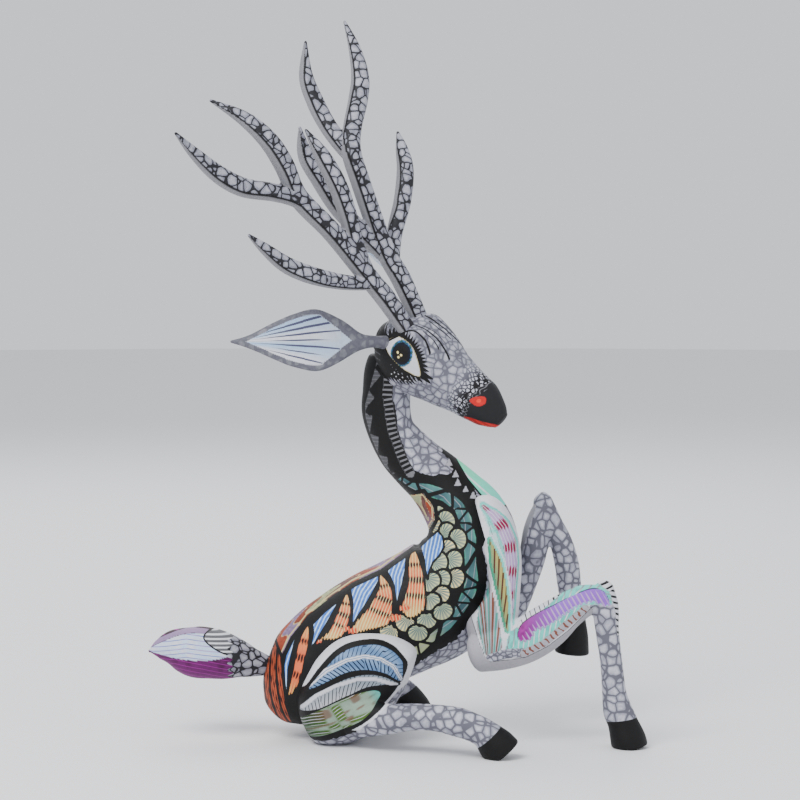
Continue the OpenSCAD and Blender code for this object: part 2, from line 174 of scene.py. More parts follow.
def catmull(stations, t):
    """A Catmull-Rom curve: at t between station i and i + 1 it is the cubic through both, with each end's slope half
    the step between that end's neighbours."""
    s = np.asarray(stations, float)
    last = len(s) - 1
    i = np.clip(np.floor(t).astype(int), 0, last - 1)
    f = (t - i)[:, None]
    a, b, c, d = s[np.maximum(i - 1, 0)], s[i], s[i + 1], s[np.minimum(i + 2, last)]
    return 0.5 * (2 * b + (c - a) * f + (2 * a - 5 * b + 4 * c - d) * f ** 2 + (3 * b - a - 3 * c + d) * f ** 3)


def evened(stations, rows):
    """The Catmull-Rom curve through the stations, sampled at equal steps of its length."""
    fine = catmull(stations, np.linspace(0, len(stations) - 1, 60 * len(stations)))
    run = np.concatenate([[0], np.cumsum(np.linalg.norm(np.diff(fine[:, :3], axis=0), axis=1))])
    at = np.linspace(0, run[-1], rows)
    return np.stack([np.interp(at, run, fine[:, k]) for k in range(fine.shape[1])], 1)


def loft(stations, rows, around, across=(0, 1, 0), start=2.0, end=2.0):
    """A body carried along the curve c(t): point = c + a cos(angle) rise + b sin(angle) side, where side is the across
    direction turned square to the curve and rise is square to both. Each end is closed by rings that shrink by the
    cosine while they run out by the sine, times the end's own depth in millimetres."""
    line = evened(stations, rows)
    cap = np.linspace(0, math.pi / 2, 9)[1:]
    ahead = np.gradient(line[:, :3], axis=0)
    ahead /= np.linalg.norm(ahead, axis=1)[:, None]
    first, last = np.repeat(line[:1], 8, 0), np.repeat(line[-1:], 8, 0)
    first[:, :3] -= ahead[0] * start * np.sin(cap)[:, None]
    last[:, :3] += ahead[-1] * end * np.sin(cap)[:, None]
    first[:, 3:] *= np.maximum(np.cos(cap), 1e-3)[:, None]
    last[:, 3:] *= np.maximum(np.cos(cap), 1e-3)[:, None]
    line = np.concatenate([first[::-1], line, last])
    ahead = np.concatenate([np.repeat(ahead[:1], 8, 0), ahead, np.repeat(ahead[-1:], 8, 0)])
    across = np.asarray(across, float)
    side = across - (ahead @ across)[:, None] * ahead
    side /= np.linalg.norm(side, axis=1)[:, None]
    rise = np.cross(ahead, side)
    angle = np.linspace(0, 2 * math.pi, around, endpoint=False)
    return (line[:, None, :3] + line[:, None, 3:4] * np.cos(angle)[None, :, None] * rise[:, None]
            + line[:, None, 4:5] * np.sin(angle)[None, :, None] * side[:, None])


def rounded(points, count=120):
    """A closed Catmull-Rom outline through the points."""
    p = np.asarray(points, float)
    wrapped = np.concatenate([p[-1:], p, p[:2]])
    return catmull(wrapped, np.linspace(1, len(p) + 1, count, endpoint=False))


def dome(outline, seat, out, rows=60, count=150):
    """A swelling: the outline, scaled by s about its middle and raised by h, where h to the 2.6 plus s to the 4 is 1."""
    rim = rounded(outline, count)
    middle = rim.mean(0)
    angle = np.linspace(0, math.pi / 2, rows)
    s, h = np.cos(angle) ** 0.5, np.sin(angle) ** (2 / 2.6)
    s[-1] = 1e-3
    flat = middle + s[:, None, None] * (rim - middle)
    y = np.broadcast_to((seat + (out - seat) * h)[:, None], flat.shape[:2])
    top = np.stack([flat[..., 0], y, flat[..., 1]], -1)
    inner = middle + np.linspace(0.001, 0.97, 12)[:, None, None] * (rim - middle)
    base = np.stack([inner[..., 0], np.full(inner.shape[:2], float(seat)), inner[..., 1]], -1)
    return np.concatenate([base, top])


def shell(grids):
    """Vertices and faces of one or more closed grids, each with a pole at both ends. Faces point outwards."""
    verts, faces, base = [], [], 0
    for g in grids:
        rows, around = g.shape[:2]
        v = np.concatenate([g.reshape(-1, 3), [g[0].mean(0), g[-1].mean(0)]])
        i, k = np.meshgrid(np.arange(rows - 1), np.arange(around), indexing="ij")
        a, b = (i * around + k).ravel(), (i * around + (k + 1) % around).ravel()
        quads = np.stack([a, b, b + around, a + around], -1)
        k = np.arange(around)
        low = np.stack([np.full(around, rows * around), (k + 1) % around, k], -1)
        top = (rows - 1) * around
        high = np.stack([np.full(around, rows * around + 1), top + k, top + (k + 1) % around], -1)
        tri = np.concatenate([quads[:, [0, 1, 2]], quads[:, [0, 2, 3]], low, high])
        p = v[tri]
        if np.einsum("ij,ij->i", p[:, 0], np.cross(p[:, 1], p[:, 2])).sum() < 0:
            quads, low, high = quads[:, ::-1], low[:, ::-1], high[:, ::-1]
        faces += (quads + base).tolist() + (low + base).tolist() + (high + base).tolist()
        verts.append(v)
        base += len(v)
    return np.concatenate(verts), faces


def head_frame():
    """The head's axes as columns: forward, left and up. It is rolled, then pitched, then turned."""
    a, b, c = (math.radians(v) for v in HEAD_TURN)
    roll = np.array([[1, 0, 0], [0, math.cos(a), -math.sin(a)], [0, math.sin(a), math.cos(a)]])
    pitch = np.array([[math.cos(b), 0, math.sin(b)], [0, 1, 0], [-math.sin(b), 0, math.cos(b)]])
    turn = np.array([[math.cos(c), -math.sin(c), 0], [math.sin(c), math.cos(c), 0], [0, 0, 1]])
    return turn @ pitch @ roll


HEAD_AXES = head_frame()


def from_head(p):
    return p @ HEAD_AXES.T + HEAD_AT


def to_head(p):
    return (p - SHIFT - HEAD_AT) @ HEAD_AXES


def piece(name, grids, voxel=None, relax=0, sole=False):
    """One object from closed grids in station millimetres. With a voxel size its shells are fused into one skin, and
    relaxed so that the joins flow as in one carving. A sole is pressed flat on the ground."""
    verts, faces = shell(grids)
    verts = verts + SHIFT
    if sole:
        verts[:, 2] = np.maximum(verts[:, 2], 0.02)
    mesh = bpy.data.meshes.new(name)
    mesh.from_pydata((verts * MM).tolist(), [], faces)
    mesh.update()
    made = bpy.data.objects.new(name, mesh)
    bpy.context.scene.collection.objects.link(made)
    if voxel:
        fused = made.modifiers.new("fused", "REMESH")
        fused.mode, fused.voxel_size, fused.adaptivity = "VOXEL", voxel * MM, 0
        eased = made.modifiers.new("eased", "SMOOTH")
        eased.factor, eased.iterations = 0.5, relax
        solid = bpy.data.meshes.new_from_object(made.evaluated_get(bpy.context.evaluated_depsgraph_get()))
        made.modifiers.clear()
        made.data = solid
        solid.name = name
        bpy.data.meshes.remove(mesh)
        mesh = solid
        if sole:
            p = points_of(made)
            p[:, 2] = np.maximum(p[:, 2], 0.02)
            mesh.vertices.foreach_set("co", (p * MM).ravel())
    mesh.polygons.foreach_set("use_smooth", np.ones(len(mesh.polygons), bool))
    mesh.update()
    return made


def points_of(o):
    p = np.empty(len(o.data.vertices) * 3)
    o.data.vertices.foreach_get("co", p)
    return p.reshape(-1, 3) / MM


# ---------------------------------------------------------------- painting, worked out at each point


def along(points, q):
    """For each q: its distance from the polyline, its share along it, and its signed side of it."""
    p = np.asarray(points, float)
    step = np.diff(p, axis=0)
    length = np.linalg.norm(step, axis=1)
    run = np.concatenate([[0], np.cumsum(length)])
    far = np.full(len(q), 1e9)
    share, side = np.zeros(len(q)), np.zeros(len(q))
    for k in range(len(step)):
        w = q - p[k]
        t = np.clip(w @ step[k] / length[k] ** 2, 0, 1)
        r = w - t[:, None] * step[k]
        d = np.hypot(r[:, 0], r[:, 1])
        near = d < far
        far = np.where(near, d, far)
        share = np.where(near, (run[k] + t * length[k]) / run[-1], share)
        side = np.where(near, np.sign(step[k][0] * w[:, 1] - step[k][1] * w[:, 0]) * d, side)
    return far, share, side


def region(points, q):
    """Distance inside a closed outline, negative outside it."""
    p = np.asarray(points, float)
    far = along(np.concatenate([p, p[:1]]), q)[0]
    inside = np.zeros(len(q), bool)
    for a, b in zip(p, np.roll(p, -1, 0)):
        crosses = (a[1] > q[:, 1]) != (b[1] > q[:, 1])
        height = b[1] - a[1] if b[1] != a[1] else 1e-9
        inside ^= crosses & (q[:, 0] < (b[0] - a[0]) * (q[:, 1] - a[1]) / height + a[0])
    return np.where(inside, far, -far)


def speckle(*waves):
    """An uneven value from -1 to 1, the product of unrelated waves."""
    out = 1.0
    for w in waves:
        out = out * np.sin(w + 1.7 * np.sin(0.61 * w + 0.4))
    return out


def blend(a, b, share):
    share = np.clip(share, 0, 1)[:, None]
    return a * (1 - share) + b * share


class Coat:
    """The paint on one piece: a ground colour, brush strokes of a second colour where cos(phase) + stroke is positive,
    black ink, and pebbles that may be fine or shrunk to dots."""

    def __init__(self, count, ground):
        self.ground = np.tile(np.asarray(ground, float), (count, 1))
        self.touch = self.ground.copy()
        self.phase = np.full(count, math.pi / 2)
        self.stroke = np.full(count, -1.0)
        self.ink = np.full(count, -3.0)
        self.pebble = np.full(count, -3.0)
        self.fine = np.zeros(count)
        self.shrink = np.zeros(count)

    def fill(self, d, ground, touch=None, stroke=-1.0, phase=None, rim=0.0):
        """Paints where d is positive, with a black rim of that half width along its edge."""
        on = d > 0
        self.ground[on] = np.broadcast_to(ground, self.ground.shape)[on]
        self.touch[on] = np.broadcast_to(ground if touch is None else touch, self.touch.shape)[on]
        self.stroke[on] = np.broadcast_to(stroke, on.shape)[on]
        self.phase[on] = np.broadcast_to(math.pi / 2 if phase is None else phase, on.shape)[on]
        self.ink = np.maximum(np.minimum(self.ink, -d), rim - np.abs(d))
        self.pebble = np.minimum(self.pebble, -d)

    def line(self, d):
        """Black ink where d is positive."""
        self.ink = np.maximum(self.ink, d)

    def pebbles(self, d):
        self.ink = np.maximum(np.minimum(self.ink, -d), -np.abs(d))
        self.pebble = np.maximum(self.pebble, d)

    def put(self, made):
        mesh = made.data
        for name in ("ground", "touch"):
            rgba = np.concatenate([getattr(self, name), np.ones((len(self.ink), 1))], 1)
            mesh.attributes.new(name, "FLOAT_COLOR", "POINT").data.foreach_set("color", rgba.ravel())
        for name in ("phase", "stroke", "ink", "pebble", "fine", "shrink"):
            mesh.attributes.new(name, "FLOAT", "POINT").data.foreach_set("value",
                getattr(self, name).astype(np.float32))


# Outlines on the flank, x and z in millimetres
BLUE_FEATHERS = [
    [(16.5, 84), (18.5, 82), (19, 78), (17, 74.5), (14.5, 72), (13, 68.5), (12.5, 65.5), (11.5, 69), (11, 73),
     (9.5, 77), (13, 80.5)],
    [(4, 74), (3.5, 68.5), (2.5, 64), (1, 59), (0, 54.5), (-0.5, 59), (-1, 63), (-2.5, 66), (-4, 68),
        (0, 71.5)],
    [(-7, 67), (-7, 64.5), (-9.5, 60), (-12, 56), (-15.5, 51), (-18, 47), (-17.5, 52), (-17.5, 56.5),
        (-18.5, 61),
     (-13.5, 64)],
    [(-22.5, 57), (-25.5, 52), (-27.5, 48.5), (-30, 44.5), (-32, 41), (-34.5, 38), (-33.5, 42), (-33, 44.5),
     (-33.5, 47.5), (-28.5, 52.5)],
    [(-40, 42.5), (-41.5, 36.5), (-43, 30), (-43.3, 23), (-43.6, 14), (-45.2, 22.5), (-45.2, 30), (-44, 36),
     (-42, 40.5)],
    [(-45.5, 41.5), (-46.5, 37), (-48, 34), (-49, 24), (-52, 24), (-51.5, 33), (-49.5, 38.5), (-47.5, 41)]]
BLUE_SPINES = [[(16.5, 84), (15.5, 78.5), (12.5, 65.5)], [(4, 74), (1, 66), (0, 54.5)],
    [(-7, 67), (-12.5, 59.5), (-18, 47)],
               [(-22.5, 57), (-28, 50.5), (-34.5, 38)], [(-40, 42.5), (-43.5, 32), (-44, 14)],
               [(-45.5, 41.5), (-48.5, 36), (-50.5, 24)]]
ORANGE_FEATHERS = [
    [(7.5, 76), (9.5, 72), (11, 66.5), (11.5, 60), (11.5, 55), (9, 52), (5.5, 50.5), (3, 52), (2, 54.5),
        (3, 59),
     (4.5, 64), (4.5, 70.5), (5.5, 74.5)],
    [(-7, 67), (-3.5, 64.5), (-1.5, 60.5), (-1.5, 54.5), (-2.5, 49), (-6, 47), (-11, 46), (-15.5, 45),
        (-18, 46.5),
     (-15.5, 50), (-11.5, 54.5), (-9, 58.5), (-7, 62.5)],
    [(-20, 59.5), (-18.5, 57), (-18, 52), (-19.5, 47), (-20.5, 44.5), (-23.5, 42.5), (-27.5, 42), (-30, 42.5),
     (-26.5, 46), (-24.5, 50.5), (-22.5, 55)],
    [(-35.5, 47), (-34.5, 44.5), (-35, 39), (-36.5, 33), (-37.5, 28), (-39.5, 23), (-41.5, 20), (-43, 18.5),
     (-42.6, 24), (-41.2, 30), (-40, 36.5), (-38.5, 42)]]
ORANGE_SPINES = [[(7.5, 76), (8, 66), (7, 51)], [(-6.5, 67), (-4.5, 59), (-9.5, 46)],
    [(-20, 59.5), (-21, 52.5), (-25, 42)],
                 [(-35.5, 47), (-38, 34), (-42, 18.5)]]
SPINE_LINE = [(15.5, 94), (16, 88.5), (13.5, 83), (9, 77.5), (3, 73.5), (-6, 67.5), (-17, 62.5), (-25.5, 57),
    (-35, 49.5), (-41.5, 41.5),
              (-45.5, 33.5), (-46.3, 24), (-45, 15.5), (-42, 6)]
TRUSS_LEFT = [(0, 104), (4.5, 101), (12, 97.5), (18, 96), (23, 92.5), (26, 84.5), (26.5, 77), (27, 69.5),
    (26.5, 63), (24, 57),
              (19.5, 49.5), (13, 44), (7, 39), (0, 34)]
TRUSS_RIGHT = [(2, 106), (6, 103.5), (13, 103.2), (20.5, 101), (26.5, 96), (30, 90.5), (32, 82), (32, 72.5),
    (33, 64.5), (31.5, 59),
               (26.5, 51.5), (21.5, 45.5), (15.5, 41), (10, 35.5), (4, 31)]
BLACK_EDGE = [(21, 117.5), (25.5, 111), (30, 103.5), (32.5, 97.5), (33, 90.5), (36.5, 83.5), (34, 78),
    (36.5, 68.5),
              (34.5, 57), (32, 52), (28, 47), (24, 41.5), (17.5, 37.5), (13.5, 35), (8, 31), (0, 26), (-12, 20)]
THROAT_EDGE = [(-0.5, 153), (-1.5, 141.5), (-1.5, 137.5), (-0.5, 133), (0, 129.5), (0.5, 124.5), (2.5, 119),
    (3.5, 114),
               (4.5, 109.5), (7, 108), (10.5, 107), (14.5, 106), (18, 107), (21, 106.5), (23, 108.5),
               (20.5, 110),
               (21.5, 112), (18.5, 114.5), (18, 117), (15.5, 118.5)]
SCALLOPS = [(13, 93), (17, 90.5), (20, 88.5), (14.5, 86.5), (20.5, 83.5), (24.5, 81.5), (20.5, 77), (23, 73),
    (17, 72),
            (23.5, 66), (18, 65.5), (13.8, 64.5), (17.5, 59.5), (13.5, 57), (12, 49.5), (3.5, 48.5),
            (8.5, 44.5), (18.5, 53),
            (-3, 45)]
NECK_BACK = [(-6, 158), (-8.5, 153), (-11, 143.5), (-13.5, 134.5), (-13.5, 129.5), (-11.5, 122), (-9, 115.5),
             (-5.5, 108.5), (0, 103.5), (6, 99), (10, 94), (11.5, 88.5)]
COMB = [(-2.2, 150), (-3.5, 143.5), (-3.7, 137.5), (-3, 133), (-2.5, 128.5), (-1.4, 123), (0.8, 117.2),
    (3, 111.5), (5.5, 107)]


def paint_torso(p):
    """The flank's feathers, scallops and truss are laid out on the side view, the same on both sides."""
    q = p[:, [0, 2]]
    x, z = q.T
    coat = Coat(len(p), BLACK)
    coat.ink[:] = 1.5
    grain = speckle(x * 1.9, z * 1.4 + p[:, 1] * 0.9)
    # belly and chest, then the throat, in pebbles
    belly = BLACK_EDGE + [(-30, 8), (-52, 2), (-52, -20), (90, -20), (90, 117.5)]
    coat.pebbles(region(belly, q) + 0.5 * grain)
    coat.pebbles(region(THROAT_EDGE + [(20, 124), (40, 150), (20, 170), (0, 170)], q) + 0.25 * grain)
    # the comb of short strokes between black and pebbles
    d, u, v = along(COMB, q)
    coat.fill(2.0 - d, BLACK, GREY, -0.3 + 0.15 * grain, u * 2 * math.pi * 23)
    # sails along the back of the neck
    d, u, v = along(NECK_BACK, q)
    saw = (1 - u * 8.5) % 1
    coat.fill(np.minimum(np.minimum(v - 0.9, 0.9 + 3.6 * np.minimum(saw * 1.1, (1 - saw) * 3.5) - v),
        (0.72 - u) * 60), GREY * 0.55,
              GREY * 0.9, -0.75, z * 4)
    # mint leaf up the chest
    leaf = region([(22, 115), (26, 113.8), (33, 108), (40, 100.5), (46, 93), (40, 93.5), (34.5, 97.5),
        (28.5, 104.5)], q)
    d, u, v = along([(22, 115), (30, 107), (46, 93)], q)
    coat.fill(leaf, blend(MINT, TURQUOISE, u), WHITE, 0.25 - np.abs(v + 2.0) * 0.8, rim=0.35)
    # small teeth between the leaf and the truss
    for a, b, size in ((24.5, 103.2, 1.3), (27.6, 100.6, 1.1), (30.6, 98.2, 1.3), (23.6, 106.4, 1.2),
        (21, 110.8, 1.3), (21, 99.4, 1.0)):
        w = q - (a, b)
        coat.fill(size - np.maximum(np.abs(w[:, 0]) * 1.2 + w[:, 1] * 0.6, -w[:, 1] * 1.3), PALE * 0.9)
    # truss: teal triangles between black zigzag struts
    band = region(TRUSS_LEFT + TRUSS_RIGHT[::-1], q)
    centre = [((a[0] + b[0]) / 2, (a[1] + b[1]) / 2) for a, b in zip(TRUSS_LEFT, TRUSS_RIGHT)]
    d, u, v = along(centre, q)
    zig = np.abs((u * 10.5 + 0.3 * np.sin(u * 19)) % 1 * 2 - 1) * 2 - 1
    half = 3.1
    side = v / half - zig
    shade = blend(TEAL, TEAL_DARK, 0.45 + 0.5 * np.sign(side) * np.sin(u * 29) - v * 0.12)
    shade = blend(shade, MINT * 0.75, np.clip(np.abs(v) * 0.5 - 0.9 + 0.3 * grain, 0, 0.6))
    shade = blend(shade, LIME, np.clip((0.12 - np.abs(u - 0.93)) * 9, 0, 0.8))
    coat.fill(band, shade, PALE * 0.8, -0.95, v * 2.4 + u * 40, rim=0.4)
    coat.line(np.minimum(band, 0.62 - np.abs(side) * half * 0.62))
    # scallops like roof tiles, each laid over the one before, with a fringe of fine strokes
    for k, (a, b) in enumerate(SCALLOPS):
        w = q - (a, b)
        turn = math.atan2(b - 66, a - 2) - 0.5
        ahead, up = math.cos(turn), math.sin(turn)
        f, g = w[:, 0] * ahead + w[:, 1] * up, -w[:, 0] * up + w[:, 1] * ahead
        r = np.hypot(f * 1.1, g * 0.9)
        ray = np.arctan2(g, f + 2.6)
        hollow = 2.2 - np.hypot(f + 3.6, g * 0.8)
        tile = blend(SCALE, TEAL_DARK * 1.5, 0.55 - 0.3 * f)
        coat.fill(np.minimum(3.9 - r, 1.6 - hollow), tile, LIME if k % 3 else CREAM,
            -0.72 + np.clip((r - 1.6) * 0.5, 0, 1.1), ray * 22, rim=0.5)
        coat.line(np.minimum(hollow - 1.6, 3.9 - r))
    # orange feathers, barred, fringed at the foot
    for k, (outline, spine) in enumerate(zip(ORANGE_FEATHERS, ORANGE_SPINES)):
        d, u, v = along(spine, q)
        edge = region(rounded(outline), q)
        ground = blend(CREAM * [0.95, 0.62, 0.45], ORANGE, np.clip(u * 3.2 - 0.15, 0, 1))
        ground = blend(ground, CREAM * [1, 0.72, 0.45], np.clip((u - 0.74) * 5, 0, 0.8))
        teeth = np.abs((v * 0.75 + u * 1.4) % 1 - 0.5)
        for at, wide in ((0.20, 0.03), (0.42, 0.045), (0.66, 0.04)):
            bar = wide + 0.055 * teeth - np.abs(u - at - 0.035 * teeth)
            ground = blend(ground, BROWN, np.clip(bar * 40, 0, 1))
        fringe = np.clip((u - 0.55) * 3, 0, 1)
        coat.fill(edge + 0.45 * fringe * np.cos(v * 5.5), ground, CREAM if k < 3 else ORANGE,
            -0.80 + 0.62 * fringe, v * 5.5 + u * 3, rim=0.45)
    # red blotches between the feathers' feet
    for a, b, r in ((3.4, 54.5, 2.2), (-0.5, 50.8, 2.4), (-17.4, 45.8, 2.0), (-20, 46.5, 1.6),
        (-31.5, 41.5, 1.7)):
        w = q - (a, b)
        coat.fill(r - np.hypot(w[:, 0], w[:, 1] * 1.7) + 0.5 * np.cos(x * 4), linear([0.86, 0.33, 0.17]),
            CREAM * 0.9, -0.75, x * 5 + z)
    # blue feathers with long white strokes
    for outline, spine in zip(BLUE_FEATHERS, BLUE_SPINES):
        d, u, v = along(spine, q)
        ground = blend(BLUE, BLUE * 0.7, 0.5 + 0.5 * grain - 0.3 * u)
        coat.fill(region(outline, q), ground, BLUE_PALE * 1.1, -0.45 - 0.2 * grain,
            v * 4.6 + 1.6 * np.sin(u * 4), rim=0.42)
    # the band of slanting patches over the back
    over = region(SPINE_LINE + [(-44, -4), (-70, -4), (-70, 60), (-30, 90), (11, 100)], q)
    d, u, v = along(SPINE_LINE, q)
    slant = u * 13 - v * 0.3
    kind = np.floor(slant + 0.4 * np.sin(p[:, 1] * 0.8)) % 5
    frac = (slant + 0.4 * np.sin(p[:, 1] * 0.8)) % 1
    patch = np.zeros_like(coat.ground)
    for k, c in enumerate((RUST, linear([0.45, 0.30, 0.28]), LIME * 0.7, RUST * 0.75, LILAC * 0.5)):
        patch[kind == k] = c
    patch = blend(patch, LILAC * 0.7, np.clip(1.2 - np.abs(u - 0.18) * 7, 0, 0.7))
    patch = blend(patch, RUST * 0.7, np.clip((u - 0.7) * 6, 0, 0.6))
    seam = np.minimum(frac, 1 - frac)
    coat.fill(over - 0.9, patch * (1 + 0.3 * grain[:, None]), CREAM * 0.75,
              np.maximum(0.05 - seam, 0.3 - np.abs(over - 1.5) * 1.5) * 4)
    coat.line(0.75 - np.abs(over + 0.1))
    # the rump: strips that hang from the back, barred brown and orange
    rump = np.minimum(region([(-45.5, 34), (-44.8, 24), (-43.6, 14), (-41, 5), (-60, -2), (-70, 40), (-52, 45)],
        q), 6)
    strip = x + 0.12 * (z - 20) + np.abs(p[:, 1]) * 0.32
    lane = (strip / 4.2) % 1
    bars = np.sin(z * 1.05 + 2.1 * np.floor(strip / 4.2) + 0.8 * np.cos(strip * 4.4))
    ground = blend(RUST, BROWN, np.clip(bars * 1.6, 0, 1))
    coat.fill(rump, ground, ORANGE * 0.8, -0.82, strip * 5.2 + 0.4 * z)
    coat.line(np.minimum(rump, (0.15 - np.abs(lane - 0.5)) * 3.4))
    coat.line(0.7 - np.abs(rump))
    return coat


def leaf_field(q, spine, profile):
    """Distance inside a leaf that follows a spine with the given half widths, and its own u and v."""
    d, u, v = along(spine, q)
    width = np.interp(u, np.linspace(0, 1, len(profile)), profile)
    return width - d, u, v


def paint_thigh(p):
    q = p[:, [0, 2]]
    x, z = q.T
    coat = Coat(len(p), BLACK)
    coat.ink[:] = 1.5
    rim_in = [(-40, 20), (-35.5, 25), (-30.5, 32), (-24, 39), (-17, 42.4), (-8, 43.2), (-1.5, 41), (2.6, 37),
        (4.4, 34), (3.6, 30),
              (1.0, 25.5), (-2.4, 21), (-7.5, 16), (-14, 10.5), (-21, 6.5), (-30, 4), (-44, 2)]
    inside = region(rounded(rim_in, 90), q)
    coat.fill(np.minimum(-inside, np.clip((z - 8) * 0.5, -3, 3)), WHITE)
    # the barred blue feather that curves over the top
    edge = region(rounded([(-34.8, 23.4), (-29.6, 30.5), (-23.2, 37.4), (-16.5, 40.8), (-8, 41.6), (-2, 39.5),
        (1.6, 36.2), (2.8, 33.4), (1.8, 26.8),
                           (-4.5, 30.2), (-12, 31.6), (-20, 30.4), (-29, 25.8)], 120), q)
    d, u, v = along([(-36.5, 23.5), (-27.5, 31.5), (-19.5, 35.6), (-12.5, 37.2), (-6, 36), (-1, 33), (2, 27.5)],
        q)
    ground = blend(STEEL, BLUE_PALE * 0.75, 0.25 + 0.3 * np.sin(x * 0.35 + v) - u * 0.2)
    coat.fill(edge, ground, NAVY, -0.72 + np.clip(-v * 0.05, -0.2, 0.2), u * 2 * math.pi * 27 - np.abs(v) * 2.1,
        rim=0.3)
    coat.fill(np.minimum(1.0 - d * 1.1 - 0.3 * u, edge), WHITE, STEEL, -0.7, v * 6)
    # the grey-blue feather under it
    edge = region(rounded([(-38.5, 14.5), (-35, 20), (-28, 24.6), (-19, 28.8), (-11, 30.2), (-4, 29),
        (1.4, 25.6), (-5, 25.6), (-12, 24.6), (-20, 20.8),
                           (-29, 16.4)], 120), q)
    d, u, v = along([(-37.5, 16), (-31.5, 21.5), (-24, 25.5), (-16, 28), (-8, 28.2), (0, 25.6)], q)
    ground = blend(PLUSH, WHITE * 0.75, 0.35 - v * 0.15 - 0.6 * u)
    coat.fill(edge, ground, BLACK, -0.80, u * 2 * math.pi * 24 - v * 2.2, rim=0.3)
    coat.fill(np.minimum(0.6 - d * 0.8, edge), WHITE * 0.9)
    # the mottled green leaf at the foot
    edge = region(rounded([(-42, 7.5), (-36.5, 12.5), (-27, 17.6), (-17.5, 22), (-9, 24), (-6, 22.4),
        (-8, 18.5), (-12.5, 13), (-20, 8.5),
                           (-30, 4.5), (-40, 3)], 120), q)
    d, u, v = along([(-43, 5), (-25, 11.5), (-6, 23.4)], q)
    spots = speckle(u * 17 + 1, v * 0.9 + u * 6)
    ground = blend(WHITE * [0.42, 0.55, 0.42], MOSS * [0.8, 1, 0.6], np.clip(0.45 + spots * 1.6, 0, 1))
    ground = blend(ground, TERRACOTTA * 0.7, np.clip(speckle(u * 11 + 2, v * 1.4) * 2 - 0.7, 0, 0.7))
    ground = blend(ground, TURQUOISE * 0.8, np.clip((u - 0.87) * 9, 0, 0.9))
    ground = blend(ground, FOREST, np.clip((0.42 - u) * 3.2 + 0.3 * spots, 0, 0.95))
    coat.fill(edge, ground, WHITE * 0.7, -1.0 + 0.3 * spots, v * 5.2 + 2 * np.sin(u * 19), rim=0.3)
    return coat


def hoof(coat, d):
    """Black and matt where d is positive."""
    coat.fill(d, BLACK)
    coat.line(np.minimum(d, 3.0))


def paint_hind(p, sign):
    """The thigh's feathers on its outer face, and pebbles down the cannon to the hoof."""
    coat = paint_thigh(p)
    x, z = p[:, [0, 2]].T
    lower = [(-46, 1.5), (-30, 2.6), (-20, 5.0), (-14, 9.0), (-8, 14), (-3, 19), (2, 24), (60, 40), (60, -10),
        (-46, -10)]
    coat.pebbles(region(lower, p[:, [0, 2]]) + 0.3 * speckle(x * 1.3, z * 1.2))
    if sign < 0:
        hoof(coat, (x - 36.6) * 0.68 - (z - 9.0) * 0.73)
    else:
        hoof(coat, (x - 3.6) * 0.5 + (11.0 - z) * 0.86)
    return coat


def paint_shoulder(coat, q):
    """The long feathers on a shoulder and the fan of stripes under them."""
    x, z = q.T
    grain = speckle(x * 1.2, z * 1.3)
    # turquoise inside the shoulder's white outline, with the barred feather and the striped one upon it
    edge = region(rounded([(32.6, 97), (36.5, 96.4), (41.6, 91), (45.6, 84), (47.2, 76), (47, 62), (46.2, 50),
        (43.6, 46), (42.4, 56), (40, 66), (37, 74),
                           (35.6, 80), (36.4, 86), (34, 92)], 120), q)
    coat.fill(edge - 0.3, blend(TURQUOISE, WHITE, 0.45 + 0.3 * grain), GREY * 0.9, -0.9,
        (x * 0.95 + z * 0.3) * 4)
    edge, u, v = leaf_field(q, [(34.2, 95.4), (38, 92.4), (42, 87.5), (44.6, 81), (45.4, 73), (45, 61),
        (45, 50)], [0.5, 2.3, 2.6, 2.3, 1.8, 1.4, 0.7])
    teeth = np.abs((v * 0.7 + 0.3) % 1 - 0.5)
    bars = np.sin(u * 2 * math.pi * 5.2 + 0.6 + teeth * 2.2)
    coat.fill(edge, blend(LILAC, CRIMSON, np.clip(bars * 3 - 0.6, 0, 1)), WHITE, -0.85, v * 5.6, rim=0.0)
    coat.fill(0.35 - np.abs(edge + 0.6), TURQUOISE * 0.9)
    edge, u, v = leaf_field(q, [(36.6, 83), (38.2, 78), (40.2, 70), (42.2, 60), (43.8, 47)],
        [0.6, 2.5, 2.5, 1.9, 0.9])
    coat.fill(edge + 1.1, WHITE)
    coat.fill(edge + 0.4, blend(linear([0.20, 0.62, 0.50]), TURQUOISE, np.clip(v * 0.4 + 0.5, 0, 1)))
    ground = blend(linear([0.72, 0.68, 0.42]), linear([0.50, 0.64, 0.50]), np.clip(-v * 0.5 + 0.3, 0, 1))
    coat.fill(edge - 0.5, ground, linear([0.40, 0.25, 0.20]), -0.35, v * 3.4 + u * 34)
    # the fan of long stripes above the elbow
    edge = region([(33.4, 72), (35.4, 70.5), (37.2, 64), (39.4, 56), (40.8, 48), (41.6, 41), (40.6, 37.4),
        (36.8, 35.4), (34.6, 38), (33, 44), (31.6, 49), (32.4, 56),
                   (33, 64)], q)
    fan = np.arctan2(x - 37.2, z - 22) * 42
    turn = np.sin(fan * 1.35 + 0.8)
    ground = blend(blend(TURQUOISE * 0.55, PALE * 0.7, 0.5 + turn), TERRACOTTA * 0.85,
        np.clip((turn * 2 + 0.6) * np.clip((74 - z) / 26, 0.2, 1), 0, 1))
    coat.fill(edge, ground, PALE, -0.55, fan * 3.1)


